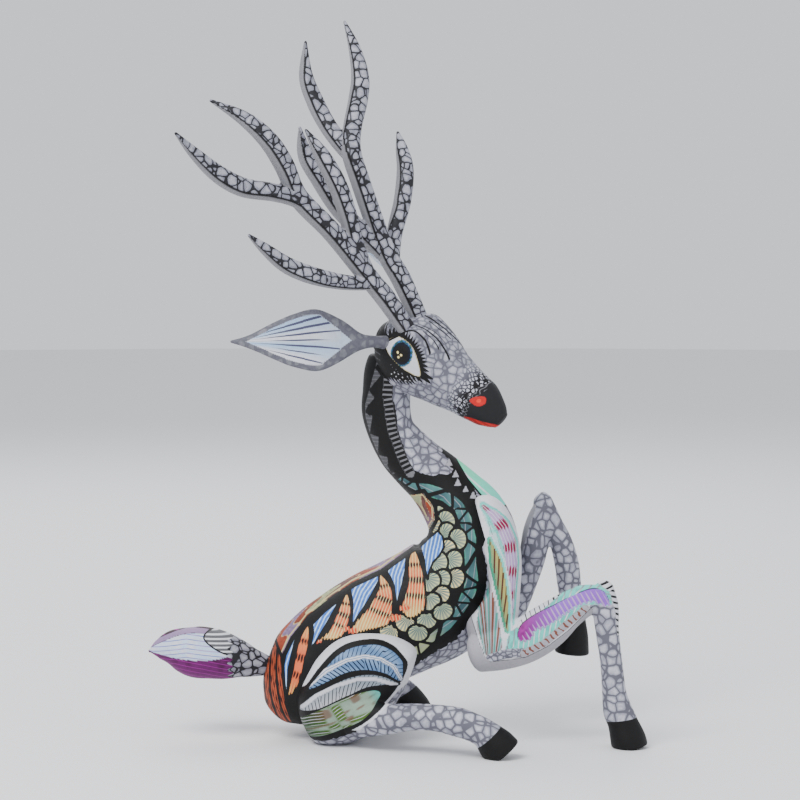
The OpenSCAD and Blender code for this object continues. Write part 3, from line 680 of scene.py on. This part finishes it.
def paint_fore_right(p):
    q = p[:, [0, 2]]
    x, z = q.T
    coat = Coat(len(p), WHITE)
    grain = speckle(x * 1.2, z * 1.3)
    shank = np.minimum(x - 73.5 - np.clip((z - 50) * 0.35, -30, 5), 59 - z + (x - 77) * 0.6)
    coat.pebbles(np.minimum(shank, 4) + 0.2 * grain)
    paint_shoulder(coat, q)
    # the forearm: turquoise, a white edge with short dark strokes, and a purple shape within
    edge = region(rounded([(43.2, 40), (44.6, 46), (48, 48.6), (51.8, 51.6), (57, 56.6), (64, 61.8), (72, 65.4),
        (79.5, 66), (83.5, 63), (84.5, 57.5), (80, 57.4),
                           (74, 57.2), (69, 53), (63, 47.4), (57, 41.6), (50, 37.6), (45, 37.2)], 120), q)
    spine = [(46, 41), (52, 48), (60, 56), (70, 62), (80, 63), (85, 57)]
    _, u, v = along(spine, q)
    ground = blend(TURQUOISE, TURQUOISE * 0.6, np.clip(speckle(u * 30, v * 0.8), 0, 0.5))
    coat.fill(edge, ground, blend(WHITE, TEAL_DARK, np.clip(v * 0.4, 0, 0.7)), -0.72, u * 95 - v * 2.6)
    top = along([(50, 48.5), (57, 58), (64, 63.6), (72, 67.3), (80, 67.8), (85.5, 64), (88.2, 55), (89.2, 45)],
        q)
    coat.fill(np.minimum(2.3 - top[0], z - 45), WHITE, BLACK, -0.35 - 0.5 * (top[1] < 0.25) + 0.1 * grain,
        top[1] * 2 * math.pi * 25 - top[2] * 1.8)
    edge = region(rounded([(48.4, 43.2), (47.8, 46.6), (50, 50.2), (55.5, 54), (62, 57.4), (69, 61), (76, 63.6),
        (81.3, 62.8), (83.8, 57.5),
                           (81, 57.2), (77, 58.8), (71.5, 57.4), (64.5, 52.8), (58.6, 48.8), (54.4, 47.2),
                           (52.6, 43.8)], 140), q)
    down = np.clip((x - 50) / 14, 0, 1)
    ground = blend(blend(MAGENTA, MAGENTA * 0.5, 0.3 + 0.4 * grain), PURPLE, down)
    coat.fill(edge + 0.5 * np.cos((x * 0.85 + z * 0.5) * 3.4) * np.clip(-v * 0.6, 0, 1), ground, LILAC,
        -0.95 + np.clip(-v * 0.22, -0.2, 0.45), (x * 0.85 + z * 0.5) * 3.4)
    coat.line(0.16 - np.abs(edge) - np.clip(-v, 0, 3))
    # small brown and white pebbles at the elbow, and thin strokes along the forearm's foot
    strip = 1.9 - along([(37, 35.6), (42, 37.6), (46, 38.2), (50, 38.3)], q)[0]
    coat.pebbles(np.minimum(strip, 1.2))
    coat.fine = np.where(strip > -1, 1.0, 0.0)
    strip = 1.5 - along([(50, 38.0), (58, 42.2), (66, 49), (74, 56)], q)[0]
    coat.fill(strip, PALE, TERRACOTTA, -0.55, (x + z) * 1.9 + grain)
    rim = region([(27, 52), (29.6, 51.5), (31, 47), (32.6, 42), (34.8, 36.4), (37, 34.4), (43, 35.2),
        (51, 36.4), (59.4, 40.8), (67.8, 47.4), (77, 56.8), (77, 50),
                  (60, 30), (36, 20), (20, 40)], q)
    coat.fill(rim, PALE * [0.92, 0.90, 0.89], GREY, speckle(x * 1.7, z * 1.9) - 0.93)
    coat.line(0.14 - np.abs(rim))
    # the hoof
    hoof(coat, 11.6 - z + (x - 90) * 0.14)
    return coat


def paint_fore_left(p):
    q = p[:, [0, 2]]
    x, z = q.T
    coat = Coat(len(p), WHITE)
    paint_shoulder(coat, q)
    d, u, v = along([(40, 40), (45, 50), (50, 60), (54, 70), (56, 80), (57.5, 87), (58.5, 95)], q)
    limb_part = np.maximum(np.minimum(8.6 - d, p[:, 1] - 17 + (x > 49) * 20), x - 53)
    coat.pebbles(np.minimum(limb_part, 2.0))
    coat.fill(np.minimum(np.minimum(v - np.interp(u, [0, 0.4, 0.8, 1], [4.4, 3.8, 2.4, 0.6]), (92 - z) * 2),
        limb_part), PALE * 0.72)
    hoof(coat, np.minimum(45.5 - z - (x - 70.5) * 0.11 - (x < 58) * 40, x - 60))
    return coat


def paint_head(p):
    """Pebbles that shrink to dots towards the dark muzzle, a big outlined eye and brow lines, alike on both sides."""
    h = to_head(p)
    f, s, u = h.T
    q = h[:, [0, 2]]
    coat = Coat(len(p), PALE)
    coat.pebbles(np.full(len(p), 2.0))
    coat.fine = np.clip((f - 24) / 7, 0, 1)
    coat.shrink = np.clip((f - 26 - 0.25 * np.abs(u - 4)) / 9, 0, 1)
    side = np.clip((np.abs(s) - 4.5) * 1.2, -2, 6)
    grain = speckle(f * 1.5, u * 1.6)
    # back of the head, black down to the neck, edged with slanting hairs
    hair = region([(-20, 15), (-6, 13.5), (-4.5, 11), (-1, 7), (1, 3.5), (2, -2), (2.2, -8), (4.4, -16),
        (7, -30), (-40, -30), (-40, 15)], q)
    teeth = np.abs(((u + f * 0.5) * 0.62) % 1 - 0.5) * 4 - 1
    coat.fill(hair + 1.1 * teeth, BLACK, GREY * 0.45, np.clip(hair * 0.2, 0, 0.6) - 1.2, (u - f * 0.5) * 2.3)
    coat.line(np.minimum(hair + 1.1 * teeth, 0.8) - 1.5 * (hair > 3.0) * (np.cos((u - f * 0.5) * 2.3) > 0.75))
    # the dark surround of the eye, with lashes
    around = region(rounded([(-6.6, 13), (-4.4, 16.8), (-0.5, 19.4), (4.6, 20), (9.4, 18), (13.4, 14.8),
        (16.2, 11), (19.4, 7.4), (14.5, 5.6), (9, 4.6),
                             (3, 4.6), (-1.6, 6.4), (-5.4, 9.6)], 120), q)
    ray = np.arctan2(u - 11, f - 5)
    spikes = (np.abs((ray * 6.4) % 1 - 0.5) * 4 - 1) * np.clip(around + 2.6, 0, 1) * 1.2
    lash = np.minimum(around + spikes - 0.2, side)
    coat.fill(lash, BLACK)
    coat.line(np.minimum(lash, 1.0))
    # under the eye the black runs out in fine strokes among small white dots
    under = region([(-4, 9), (4, 5.6), (14, 5.4), (12.4, 2.6), (8, 0.6), (3.6, -0.8), (2, -4), (-4, 0)], q)
    comb = np.minimum(under + 1.3 * (np.abs(((f * 0.55 + u * 0.8) * 0.8) % 1 - 0.5) * 4 - 1), side)
    coat.fill(comb, BLACK)
    coat.line(np.minimum(comb, 1.0))
    for a, b in ((4.4, 3.6), (6.2, 3.9), (8.2, 3.4), (9.8, 2.6), (5.6, 2.2), (3.4, 2.0), (11.4, 3.6),
        (7.4, 1.6)):
        coat.fill(np.minimum(0.34 - np.hypot(f - a, u - b), side), WHITE)
    almond = np.minimum(region(rounded([(-4.6, 11.4), (-2.6, 14.6), (0.6, 17.0), (5.2, 17.4), (9.4, 15.0),
        (13.2, 10.6), (14.2, 7.4), (9, 7.2), (3, 8.2),
                                        (-1.6, 9.4)], 140), q), side)
    coat.fill(almond, WHITE * 0.92, LILAC * 0.6, -1.15 - np.clip(almond - 0.4, 0, 1) * 2)
    coat.fill(0.14 - np.abs(almond + 0.05), CREAM * 0.6)
    eye = np.hypot((f - 4.0) * 1.04, u - 12.3)
    coat.fill(np.minimum(5.1 - eye, almond), blend(TURQUOISE * 0.25, NAVY, (5.3 - eye) * 0.5), EYE_BLUE * 1.2,
        -0.45 + 0.3 * (u > 14), ray * 16)
    coat.fill(np.minimum(4.3 - eye, almond), NAVY * 0.7)
    coat.line(np.minimum(3.3 - eye, almond))
    for a, b in ((2.5, 12.2), (4.3, 12.2), (3.6, 10.8)):
        coat.fill(np.minimum(0.58 - np.hypot(f - a, u - b), side), CREAM * 1.15)
    # brow lines, laid out as seen from above
    crown = np.stack([f, np.abs(s)], 1)
    for line, wide in (([(-3, 6.2), (2, 4.6), (8, 3.9), (14, 4.2), (21, 5.8)], 0.42),
        ([(5, 2.4), (10, 1.7), (16, 2.2)], 0.26),
                       ([(-5, 10.6), (0, 9.2), (5, 8.4), (10, 8.6), (14, 9.8)], 0.34),
                       ([(7, 6.1), (12, 6.0), (16, 6.9)], 0.26)):
        coat.line(np.minimum(wide - along(line, crown)[0], u - 11))
    # the muzzle
    nose = region([(40.5, 22), (37.5, 12.5), (34.8, 8.5), (34.6, 2.5), (35, -2), (35.4, -12), (70, -12),
        (70, 22)], q)
    coat.fill(nose + 0.8 * grain, linear([0.17, 0.17, 0.18]), GREY, -1.2 + np.clip(2.2 - nose, 0, 0.5),
        f * 4 + 2 * np.sin(u * 3))
    nostril = np.minimum(region(rounded([(35.8, 6.4), (37.4, 8.9), (40.4, 9.6), (41.6, 7.6), (39.4, 5.6)], 60),
        q), np.abs(s) - 2.0)
    coat.fill(nostril, RED, linear([0.98, 0.28, 0.12]), 0.5 - np.hypot(f - 39.0, u - 7.8) * 0.6)
    lip = np.stack([f, u - 0.36 * np.minimum(np.abs(s), 7)], 1)
    mouth = region([(35.6, -5.0), (38.5, -3.6), (43.5, -2.8), (47.5, -1.6), (53, -1.2), (53, -16), (43, -16),
        (38.5, -12), (36, -7)], lip)
    coat.fill(mouth, RED * 0.75, RED * 1.15, -0.4 + np.clip((f - 42) * 0.2, -0.5, 0.6), u * 3 + f)
    coat.line(0.2 - np.abs(lip[:, 1] + 5.4 - 0.1 * (f - 40)) - np.clip(37 - f, 0, 3) - np.clip(-mouth, 0, 3))
    return coat


def paint_antler(p, tines):
    """Pebbles on near-black, with a plain grey band down the lower outer side of every tine."""
    coat = Coat(len(p), linear([0.58, 0.58, 0.60]))
    h = to_head(p)
    far = np.full(len(p), 1e9)
    below = np.zeros(len(p))
    lower = HEAD_AXES.T @ np.array([-0.56, -0.42, -0.70])
    for t in tines:
        line = evened(t, 60)
        ahead = np.gradient(line[:, :3], axis=0)
        ahead /= np.linalg.norm(ahead, axis=1)[:, None]
        for at, way in zip(line, ahead):
            w = h - at[:3]
            d = np.linalg.norm(w, axis=1) - at[3]
            down = lower - (lower @ way) * way
            b = w @ (down / max(np.linalg.norm(down), 1e-6)) / max(at[3], 0.8)
            near = d < far
            far = np.where(near, d, far)
            below = np.where(near, b, below)
    coat.pebbles((0.66 - below) * 3.0)
    coat.line(0.16 - np.abs(0.66 - below) * 1.8)
    return coat


def paint_ear(p, mirror):
    h = to_head(p) * [1, mirror, 1]
    line = evened(EAR, 80)
    ahead = np.gradient(line[:, :3], axis=0)
    ahead /= np.linalg.norm(ahead, axis=1)[:, None]
    far = np.full(len(p), 1e9)
    u, v, w = (np.zeros(len(p)) for _ in range(3))
    for k, (at, way) in enumerate(zip(line, ahead)):
        side = np.array(EAR_FACE) - (np.array(EAR_FACE) @ way) * way
        rise = np.cross(way, side / np.linalg.norm(side))
        r = h - at[:3]
        d = np.abs(r @ way)
        near = d < far
        far = np.where(near, d, far)
        u = np.where(near, k / (len(line) - 1), u)
        v = np.where(near, r @ rise, v)
        w = np.where(near, at[3], w)
    coat = Coat(len(p), PALE)
    coat.pebbles(np.full(len(p), 2.0))
    inner = np.minimum(np.minimum(w - 2.1 - np.abs(v), (u - 0.26) * 46 - 0.9 * np.abs(v)), (0.95 - u) * 60)
    ray = np.arctan2(v, (0.98 - u) * 56)
    ground = blend(WHITE, BLUE_PALE * 0.85, 0.5 + 0.5 * speckle(ray * 9, u * 5))
    coat.fill(inner, ground, linear([0.36, 0.36, 0.46]),
        -1.0 + 0.45 * np.exp(-((u - 0.6) / 0.16) ** 2) + 0.25 * speckle(ray * 17, u * 9), ray * 62)
    return coat


def paint_tail(p):
    q = p[:, [0, 2]]
    x, z = q.T
    coat = Coat(len(p), MAGENTA * 0.5)
    d, u, v = along([(-53, 29), (-64, 31.5), (-76, 34), (-88, 35.8), (-101, 35)], q)
    grain = speckle(u * 30, v * 1.2)
    coat.ground[:] = blend(MAGENTA * 0.45, PLUM * 0.7, np.clip(0.45 - v * 0.1 + 0.3 * grain, 0, 1))
    coat.touch[:] = MAGENTA
    coat.phase[:], coat.stroke[:] = v * 3.4 + 3 * u, -0.93
    lens = region(rounded([(-99.5, 35.6), (-93, 39.8), (-85, 42.6), (-76, 42.6), (-68, 39), (-63, 36),
        (-69, 33.6), (-77, 32.6), (-86, 33), (-94, 34.2)], 90), q)
    lane = along([(-99, 35.6), (-84, 37.8), (-66, 35.6)], q)[2]
    coat.fill(lens, blend(WHITE, BLUE_PALE, 0.4 + 0.5 * grain), blend(BLUE * 0.8, LILAC, 0.5 + 0.5 * grain),
        -0.8, lane * 3.6 + 2 * u)
    coat.fill(np.minimum(0.8 - np.abs(lens + 0.9), z - 37), LILAC * 0.7)
    patch = region(rounded([(-73, 44.5), (-77, 41.5), (-72, 37), (-66, 34.5), (-58, 33), (-56, 40), (-64, 43)],
        90), q)
    coat.fill(patch, GREY * 0.7, WHITE, -0.3, lane * 4 + u * 16, rim=0.3)
    coat.pebbles(np.minimum((x + 66.5) + 1.2 * np.cos(z * 2.2), 3))
    return coat


# ---------------------------------------------------------------- materials


class Wire:
    """A socket with arithmetic. Each operation adds a Math node."""

    def __init__(self, kit, socket):
        self.kit, self.socket = kit, socket

    def _math(self, kind, *values):
        return self.kit.node("ShaderNodeMath", {"operation": kind}, dict(enumerate(values)))

    def __add__(self, other):
        return self._math("ADD", self, other)

    def __sub__(self, other):
        return self._math("SUBTRACT", self, other)

    def __rsub__(self, other):
        return self._math("SUBTRACT", other, self)

    def __mul__(self, other):
        return self._math("MULTIPLY", self, other)

    __radd__, __rmul__ = __add__, __mul__

    def cosine(self):
        return self._math("COSINE", self)

    def floor_at(self, low):
        return self._math("MAXIMUM", self, low)

    def step(self, low, high):
        """0 below low, 1 above high, and smooth between them."""
        return self.kit.node("ShaderNodeMapRange", {"interpolation_type": "SMOOTHSTEP"},
            {0: self, 1: low, 2: high})


class Kit:
    """The node tree of one material."""

    def __init__(self, name):
        self.material = bpy.data.materials.new(name)
        self.material.use_nodes = True
        self.tree = self.material.node_tree
        self.shader = self.tree.nodes["Principled BSDF"]

    def node(self, kind, settings=None, values=None, out=0):
        made = self.tree.nodes.new(kind)
        for key, value in (settings or {}).items():
            setattr(made, key, value)
        for key, value in (values or {}).items():
            socket = made.inputs[key]
            if isinstance(value, Wire):
                self.tree.links.new(value.socket, socket)
            else:
                socket.default_value = value
        return Wire(self, made.outputs[out])

    def mix(self, share, a, b):
        colours = [(*v, 1) if isinstance(v, (tuple, list, np.ndarray)) and len(v) == 3 else v for v in (a, b)]
        return self.node("ShaderNodeMix", {"data_type": "RGBA"}, {0: share, 6: colours[0], 7: colours[1]},
            out=2)

    def value(self, name):
        return self.node("ShaderNodeAttribute", {"attribute_name": name}, out="Fac")

    def colour(self, name):
        return self.node("ShaderNodeAttribute", {"attribute_name": name}, out="Color")

    def set(self, **sockets):
        for name, value in sockets.items():
            socket = self.shader.inputs[name.replace("_", " ")]
            if isinstance(value, Wire):
                self.tree.links.new(value.socket, socket)
            else:
                socket.default_value = value
        return self.material


def paint_finish(name, cell, line, pale, dark, gap_width):
    """The piece's own paint attributes, with rounded pebbles drawn in from cells of that size in metres. Each pebble
    is paler in its middle, a painted highlight, and darker at its edge, painted shade.
    """
    k = Kit(name)
    place = k.node("ShaderNodeTexCoord", out="Object")
    wobble = k.node("ShaderNodeTexNoise", None, {"Vector": place, "Scale": 260.0, "Detail": 1.0}, out=1)
    bent = k.node("ShaderNodeVectorMath", {"operation": "MULTIPLY_ADD"},
        {0: wobble, 1: (0.0009,) * 3, 2: place})
    gaps, tint = [], []
    for scale in (1 / cell, 1.9 / cell):
        cells = {"Vector": bent, "Scale": scale, "Randomness": 0.8}
        near = k.node("ShaderNodeTexVoronoi", {"feature": "F1"}, cells)
        # corners lie farthest from a cell's middle, so the gap is widened there and the pebbles come out round
        gaps.append(k.node("ShaderNodeTexVoronoi", {"feature": "DISTANCE_TO_EDGE"},
            cells) - (near - 0.46).floor_at(0) * 0.22)
        tint.append(k.node("ShaderNodeTexVoronoi", {"feature": "F1"}, cells, out=1))
    fine = k.value("fine").step(0.35, 0.65)
    shrink = k.value("shrink")
    gap = gaps[0] * (1 - fine) + gaps[1] * fine - shrink * 0.13
    cloud = k.node("ShaderNodeTexNoise", None, {"Vector": place, "Scale": 900.0, "Detail": 3.0})
    broad = k.node("ShaderNodeTexNoise", None, {"Vector": place, "Scale": 120.0, "Detail": 2.0})
    hue = k.node("ShaderNodeSeparateColor", None, {0: k.mix(fine, tint[0], tint[1])})
    # painted highlight and shade: a pebble is paler towards its middle, far from its cell's edge, and darker at its
    # edge; hue and cloud add random tone
    pebble_highlight = gap.step(0.06, 0.30) * 0.55 + (hue - 0.5) * 0.4 + (cloud - 0.5) * 0.9 + shrink * 0.8 + 0.1
    stone = k.mix(pebble_highlight.step(0.0, 1.0), tuple(dark), tuple(pale))
    between = k.mix(shrink.step(0.0, 0.8), tuple(line), tuple(BLACK * 2))
    stone = k.mix((gap - gap_width).step(-0.012, 0.03), between, stone)
    stroke = k.value("phase").cosine() + k.value("stroke")
    base = k.mix(stroke.step(-0.12, 0.12), k.colour("ground"), k.colour("touch"))
    base = k.mix(((cloud - 0.5) * 0.5 + (broad - 0.5) * 0.4 + 0.12).step(0.0, 0.6) * 0.25, base,
        (0.02, 0.02, 0.025))
    base = k.mix(k.value("pebble").step(-0.12, 0.12), base, stone)
    base = k.mix(k.value("ink").step(-0.12, 0.12), base, tuple(BLACK))
    height = k.value("pebble").step(-0.2, 0.2) * gap.step(0.02, 0.16) * 0.6 + stroke.step(-0.2,
        0.3) * 0.25 + cloud * 0.35
    bump = k.node("ShaderNodeBump", None, {"Strength": 0.35, "Distance": 0.0003, "Height": height})
    rough = (cloud - 0.5) * 0.25 + 0.58
    base = k.node("ShaderNodeGamma", None, {"Color": base, "Gamma": 1.22})
    base = k.node("ShaderNodeHueSaturation", None, {"Color": base, "Saturation": 0.98})
    return k.set(Base_Color=base, Roughness=rough, Normal=bump, Specular_IOR_Level=0.25)


def wood_finish(name):
    """Bare pale wood with fine grain along Z."""
    k = Kit(name)
    place = k.node("ShaderNodeTexCoord", out="Object")
    long = k.node("ShaderNodeMapping", None, {0: place, 3: (900.0, 900.0, 60.0)})
    grain = k.node("ShaderNodeTexNoise", None, {"Vector": long, "Scale": 1.0, "Detail": 4.0})
    colour = k.mix(grain.step(0.3, 0.7), tuple(linear([0.66, 0.50, 0.32])), tuple(linear([0.84, 0.72, 0.52])))
    bump = k.node("ShaderNodeBump", None, {"Strength": 0.2, "Distance": 0.0002, "Height": grain})
    return k.set(Base_Color=colour, Roughness=0.62 + (grain - 0.5) * 0.2, Normal=bump)


# ---------------------------------------------------------------- the add-on


class DeerSettings(bpy.types.PropertyGroup):
    """Sizes and colours that a maker would change."""

    body_pebble: FloatProperty(name="Body pebble", description="Size of a painted pebble on the neck and belly",
        default=0.0036, unit="LENGTH")
    leg_pebble: FloatProperty(name="Leg pebble", description="Size of a painted pebble on the legs",
        default=0.0038, unit="LENGTH")
    face_pebble: FloatProperty(name="Face pebble", description="Size of a painted pebble on the face",
        default=0.0030, unit="LENGTH")
    antler_pebble: FloatProperty(name="Antler pebble", description="Size of a painted pebble on an antler",
        default=0.0036, unit="LENGTH")
    skin_voxel: FloatProperty(name="Skin grain",
        description="Grain of the fused skins of legs and antlers, in millimetres", default=0.5)
    torso_voxel: FloatProperty(name="Torso grain", description="Grain of the torso's skin, in millimetres",
        default=0.6)
    # the middle of a pebble is its painted highlight, and the edge below is its painted shade
    pebble_colour: FloatVectorProperty(name="Pebble", description="Middle of a pebble", subtype="COLOR",
        default=tuple(linear([0.80, 0.80, 0.84])))
    shade_colour: FloatVectorProperty(name="Pebble edge", description="Edge of a pebble", subtype="COLOR",
        default=tuple(linear([0.62, 0.62, 0.67])))
    line_colour: FloatVectorProperty(name="Line", description="Lines between pebbles", subtype="COLOR",
        default=tuple(linear([0.45, 0.45, 0.49])))
    antler_line: FloatVectorProperty(name="Antler line", description="Lines between an antler's pebbles",
        subtype="COLOR", default=tuple(linear([0.20, 0.20, 0.22])))
    floor_colour: FloatVectorProperty(name="Floor", description="Colour of the plain floor", subtype="COLOR",
        default=(0.82, 0.82, 0.83))


def finish_of(part):
    """The painted finish for one kind of part, made once."""
    s = bpy.context.scene.deer
    # pale is the painted highlight in a pebble's middle, dark the painted shade at its edge
    pale, dark = np.array(s.pebble_colour), np.array(s.shade_colour)
    cell, line, share, gap = {
        "body": (s.body_pebble, s.line_colour, 1.0, 0.045),
        "leg": (s.leg_pebble, s.line_colour, 1.0, 0.055),
        "face": (s.face_pebble, s.line_colour, 0.85, 0.040),
        "antler": (s.antler_pebble, s.antler_line, 0.82, 0.045),
        "ear": (s.antler_pebble, s.line_colour, 0.45, 0.030),
    }[part]
    name = "painted_" + part
    return bpy.data.materials.get(name) or paint_finish(name, cell, line, pale * share, dark * share, gap)


def finished(made, coat, material, body, node):
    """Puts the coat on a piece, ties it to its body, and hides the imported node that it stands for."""
    coat.put(made)
    made.data.materials.append(material)
    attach(made, body)
    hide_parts(node)


class DEER_OT_torso(bpy.types.Operator):
    """Carve and paint the body and neck"""

    bl_idname = "deer.torso"
    bl_label = "Torso"

    def execute(self, context):
        made = piece("torso_carving", [loft(TORSO, 330, 270, start=2, end=0.5)],
            voxel=context.scene.deer.torso_voxel, relax=30)
        finished(made, paint_torso(points_of(made)), finish_of("body"), "carving", "torso")
        return {"FINISHED"}


def head_shape():
    """The head's loft with raised brows, a swollen eye, cheeks, nostrils and a mouth line, each a Gaussian bump along
    the surface's own direction away from the head's middle line."""
    g = loft(HEAD, 260, 260, start=3, end=1.2)
    f, s, u = g[..., 0], g[..., 1], g[..., 2]
    middle = np.stack([f, np.zeros_like(s), np.full_like(u, 4.5)], -1)
    out = g - middle
    out /= np.maximum(np.linalg.norm(out, axis=-1), 1e-6)[..., None]

    def bump(at, size, high):
        a, b, c = at
        d = ((f - a) / size[0]) ** 2 + ((np.abs(s) - b) / size[1]) ** 2 + ((u - c) / size[2]) ** 2
        return high * np.exp(-d)

    lift = bump((3.5, 8.5, 20), (7.5, 4.5, 3.6), 3.0)
    lift = lift + bump((14, 7, 17), (6, 3.5, 4), 0.9)
    lift = lift + bump((5.5, 12, 12.8), (5.5, 3.5, 4.2), 0.9)
    lift = lift + bump((38.5, 5.4, 7.6), (3.0, 2.4, 2.2), 0.9) - bump((39.4, 6.0, 7.4), (1.5, 1.6, 1.0), 0.9)
    lift = lift - bump((44, 3, -4.6), (7, 8, 0.8), 0.5)
    lift = lift + bump((2, 12, -4), (8, 6, 7), 0.8)
    lift = lift - bump((16, 0, 20), (9, 2.6, 5), 0.9)
    lift = lift - bump((24, 9, 1), (6, 4, 6), 0.6)
    return from_head(g + out * lift[..., None])


class DEER_OT_head(bpy.types.Operator):
    """Carve and paint the head"""

    bl_idname = "deer.head"
    bl_label = "Head"

    def execute(self, context):
        made = piece("head_carving", [head_shape()])
        finished(made, paint_head(points_of(made)), finish_of("face"), "carving", "head")
        return {"FINISHED"}


def limb(stations, start=4.0, end=3.0):
    return loft(stations, 90, 64, across=(0.1, 1, 0.1), start=start, end=end)


class DEER_OT_legs(bpy.types.Operator):
    """Carve and paint the four legs"""

    bl_idname = "deer.legs"
    bl_label = "Legs"

    def execute(self, context):
        s = context.scene.deer
        finish = finish_of("leg")
        rows = (
            ("hindleg_right", [dome(THIGH, -12, -31), limb(CANNON_RIGHT, end=1)], lambda p: paint_hind(p, -1)),
            ("hindleg_left", [dome(THIGH, 12, 31), limb(CANNON_LEFT, end=1)], lambda p: paint_hind(p, 1)),
            ("foreleg_right", [dome(SHOULDER, -8, -27), limb(FOREARM_RIGHT), limb(SHANK_RIGHT, end=0.3)],
            paint_fore_right),
            ("foreleg_left", [dome(SHOULDER, 14, 27), limb(FOREARM_LEFT), limb(SHANK_LEFT, end=1)],
            paint_fore_left),
        )
        for node, grids, coat in rows:
            made = piece(node + "_carving", grids, voxel=s.skin_voxel, relax=6, sole=True)
            finished(made, coat(points_of(made)), finish, "carving", node)
        return {"FINISHED"}


class DEER_OT_antlers(bpy.types.Operator):
    """Carve and paint both antlers"""

    bl_idname = "deer.antlers"
    bl_label = "Antlers"

    def execute(self, context):
        s = context.scene.deer
        finish = finish_of("antler")
        for side, tines in (("right", ANTLER_RIGHT), ("left", ANTLER_LEFT)):
            grids = []
            for t in tines:
                rows = [[*r[:3], r[3], r[3]] for r in t]
                grids.append(from_head(loft(rows, 90, 32, across=(0.3, 0.9, 0.3), start=1.0, end=0.4)))
            made = piece(f"antler_{side}_carving", grids, voxel=s.skin_voxel * 0.85, relax=3)
            finished(made, paint_antler(points_of(made), tines), finish, f"antler_{side}_piece",
                f"antler_{side}")
        return {"FINISHED"}


def ear_shape(mirror):
    """The ear's flat blade, the left one a mirror of the right."""
    g = loft(EAR, 150, 96, across=EAR_FACE, start=0.5, end=0.4)
    return from_head(g * [1, mirror, 1])


class DEER_OT_ears(bpy.types.Operator):
    """Carve and paint both ears"""

    bl_idname = "deer.ears"
    bl_label = "Ears"

    def execute(self, context):
        finish = finish_of("ear")
        for side, mirror in (("right", 1), ("left", -1)):
            made = piece(f"ear_{side}_carving", [ear_shape(mirror)])
            finished(made, paint_ear(points_of(made), mirror), finish, f"ear_{side}_piece",
                f"ear_{side}")
        return {"FINISHED"}


class DEER_OT_tail(bpy.types.Operator):
    """Carve and paint the tail"""

    bl_idname = "deer.tail"
    bl_label = "Tail"

    def execute(self, context):
        made = piece("tail_carving", [loft(TAIL, 180, 140, start=0.5, end=0.6)])
        finished(made, paint_tail(points_of(made)), finish_of("antler"), "tail_piece", "tail")
        return {"FINISHED"}


class DEER_OT_pegs(bpy.types.Operator):
    """Give the pegs and dowels their bare wood"""

    bl_idname = "deer.pegs"
    bl_label = "Pegs and dowels"

    def execute(self, context):
        wood = wood_finish("bare_wood")
        for name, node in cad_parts.items():
            if "peg" in name or "dowel" in name:
                node.data.materials.clear()
                node.data.materials.append(wood)
        return {"FINISHED"}


class DEER_OT_stage(bpy.types.Operator):
    """Lay the floor, hang the lights and place the camera"""

    bl_idname = "deer.stage"
    bl_label = "Stage"

    def execute(self, context):
        scene = context.scene
        mesh = bpy.data.meshes.new("floor")
        r, n = 3.0, 64
        ring = np.linspace(0, 2 * math.pi, n, endpoint=False)
        rows = [(r * math.cos(a), r * math.sin(a), 0.0) for a in ring]
        mesh.from_pydata(rows, [], [list(range(n))])
        floor = bpy.data.objects.new("floor", mesh)
        scene.collection.objects.link(floor)
        k = Kit("floor_plain")
        mesh.materials.append(k.set(Base_Color=(*scene.deer.floor_colour, 1), Roughness=0.9))
        world = bpy.data.worlds.new("studio")
        scene.world = world
        world.use_nodes = True
        world.node_tree.nodes["Background"].inputs[0].default_value = (0.90, 0.93, 0.98, 1)
        world.node_tree.nodes["Background"].inputs[1].default_value = 1.0
        for name, at, size, power in (("key", (-0.45, -0.65, 1.0), 0.6, 14.0),
            ("fill", (0.9, -0.6, 0.5), 0.9, 2.0),
                                      ("back", (-0.2, 0.9, 0.9), 0.8, 7.0)):
            lamp = bpy.data.lights.new(name, "AREA")
            lamp.size, lamp.energy = size, power
            o = bpy.data.objects.new(name, lamp)
            o.location = at
            aim = np.array([0.0, 0.0, 0.12]) - np.array(at)
            flat = math.hypot(aim[0], aim[1])
            o.rotation_euler = (math.atan2(flat, -aim[2]), 0, math.atan2(aim[1], aim[0]) - math.pi / 2)
            scene.collection.objects.link(o)
        camera = bpy.data.objects.new("camera", bpy.data.cameras.new("camera"))
        camera.location = (0.0014, -1.146, 0.217)
        camera.rotation_euler = (math.radians(85.97), 0, 0)
        camera.data.sensor_width = 36
        camera.data.lens = 129.4
        scene.collection.objects.link(camera)
        scene.camera = camera
        return {"FINISHED"}


STEPS = (DEER_OT_torso, DEER_OT_head, DEER_OT_legs, DEER_OT_antlers, DEER_OT_ears, DEER_OT_tail, DEER_OT_pegs,
    DEER_OT_stage)


class DEER_PT_panel(bpy.types.Panel):
    """Lists the deer's pieces and settings"""

    bl_idname = "DEER_PT_panel"
    bl_label = "Painted deer"
    bl_space_type = "VIEW_3D"
    bl_region_type = "UI"
    bl_category = "Deer"

    def draw(self, context):
        for key in DeerSettings.__annotations__:
            self.layout.prop(context.scene.deer, key)
        for step in STEPS:
            self.layout.operator(step.bl_idname)


CLASSES = (DeerSettings, *STEPS, DEER_PT_panel)


def register():
    for c in CLASSES:
        bpy.utils.register_class(c)
    bpy.types.Scene.deer = PointerProperty(type=DeerSettings)


def unregister():
    del bpy.types.Scene.deer
    for c in reversed(CLASSES):
        bpy.utils.unregister_class(c)


def main():
    register()
    for step in STEPS:
        group, name = step.bl_idname.split(".")
        getattr(getattr(bpy.ops, group), name)()


if __name__ == "__main__":
    main()
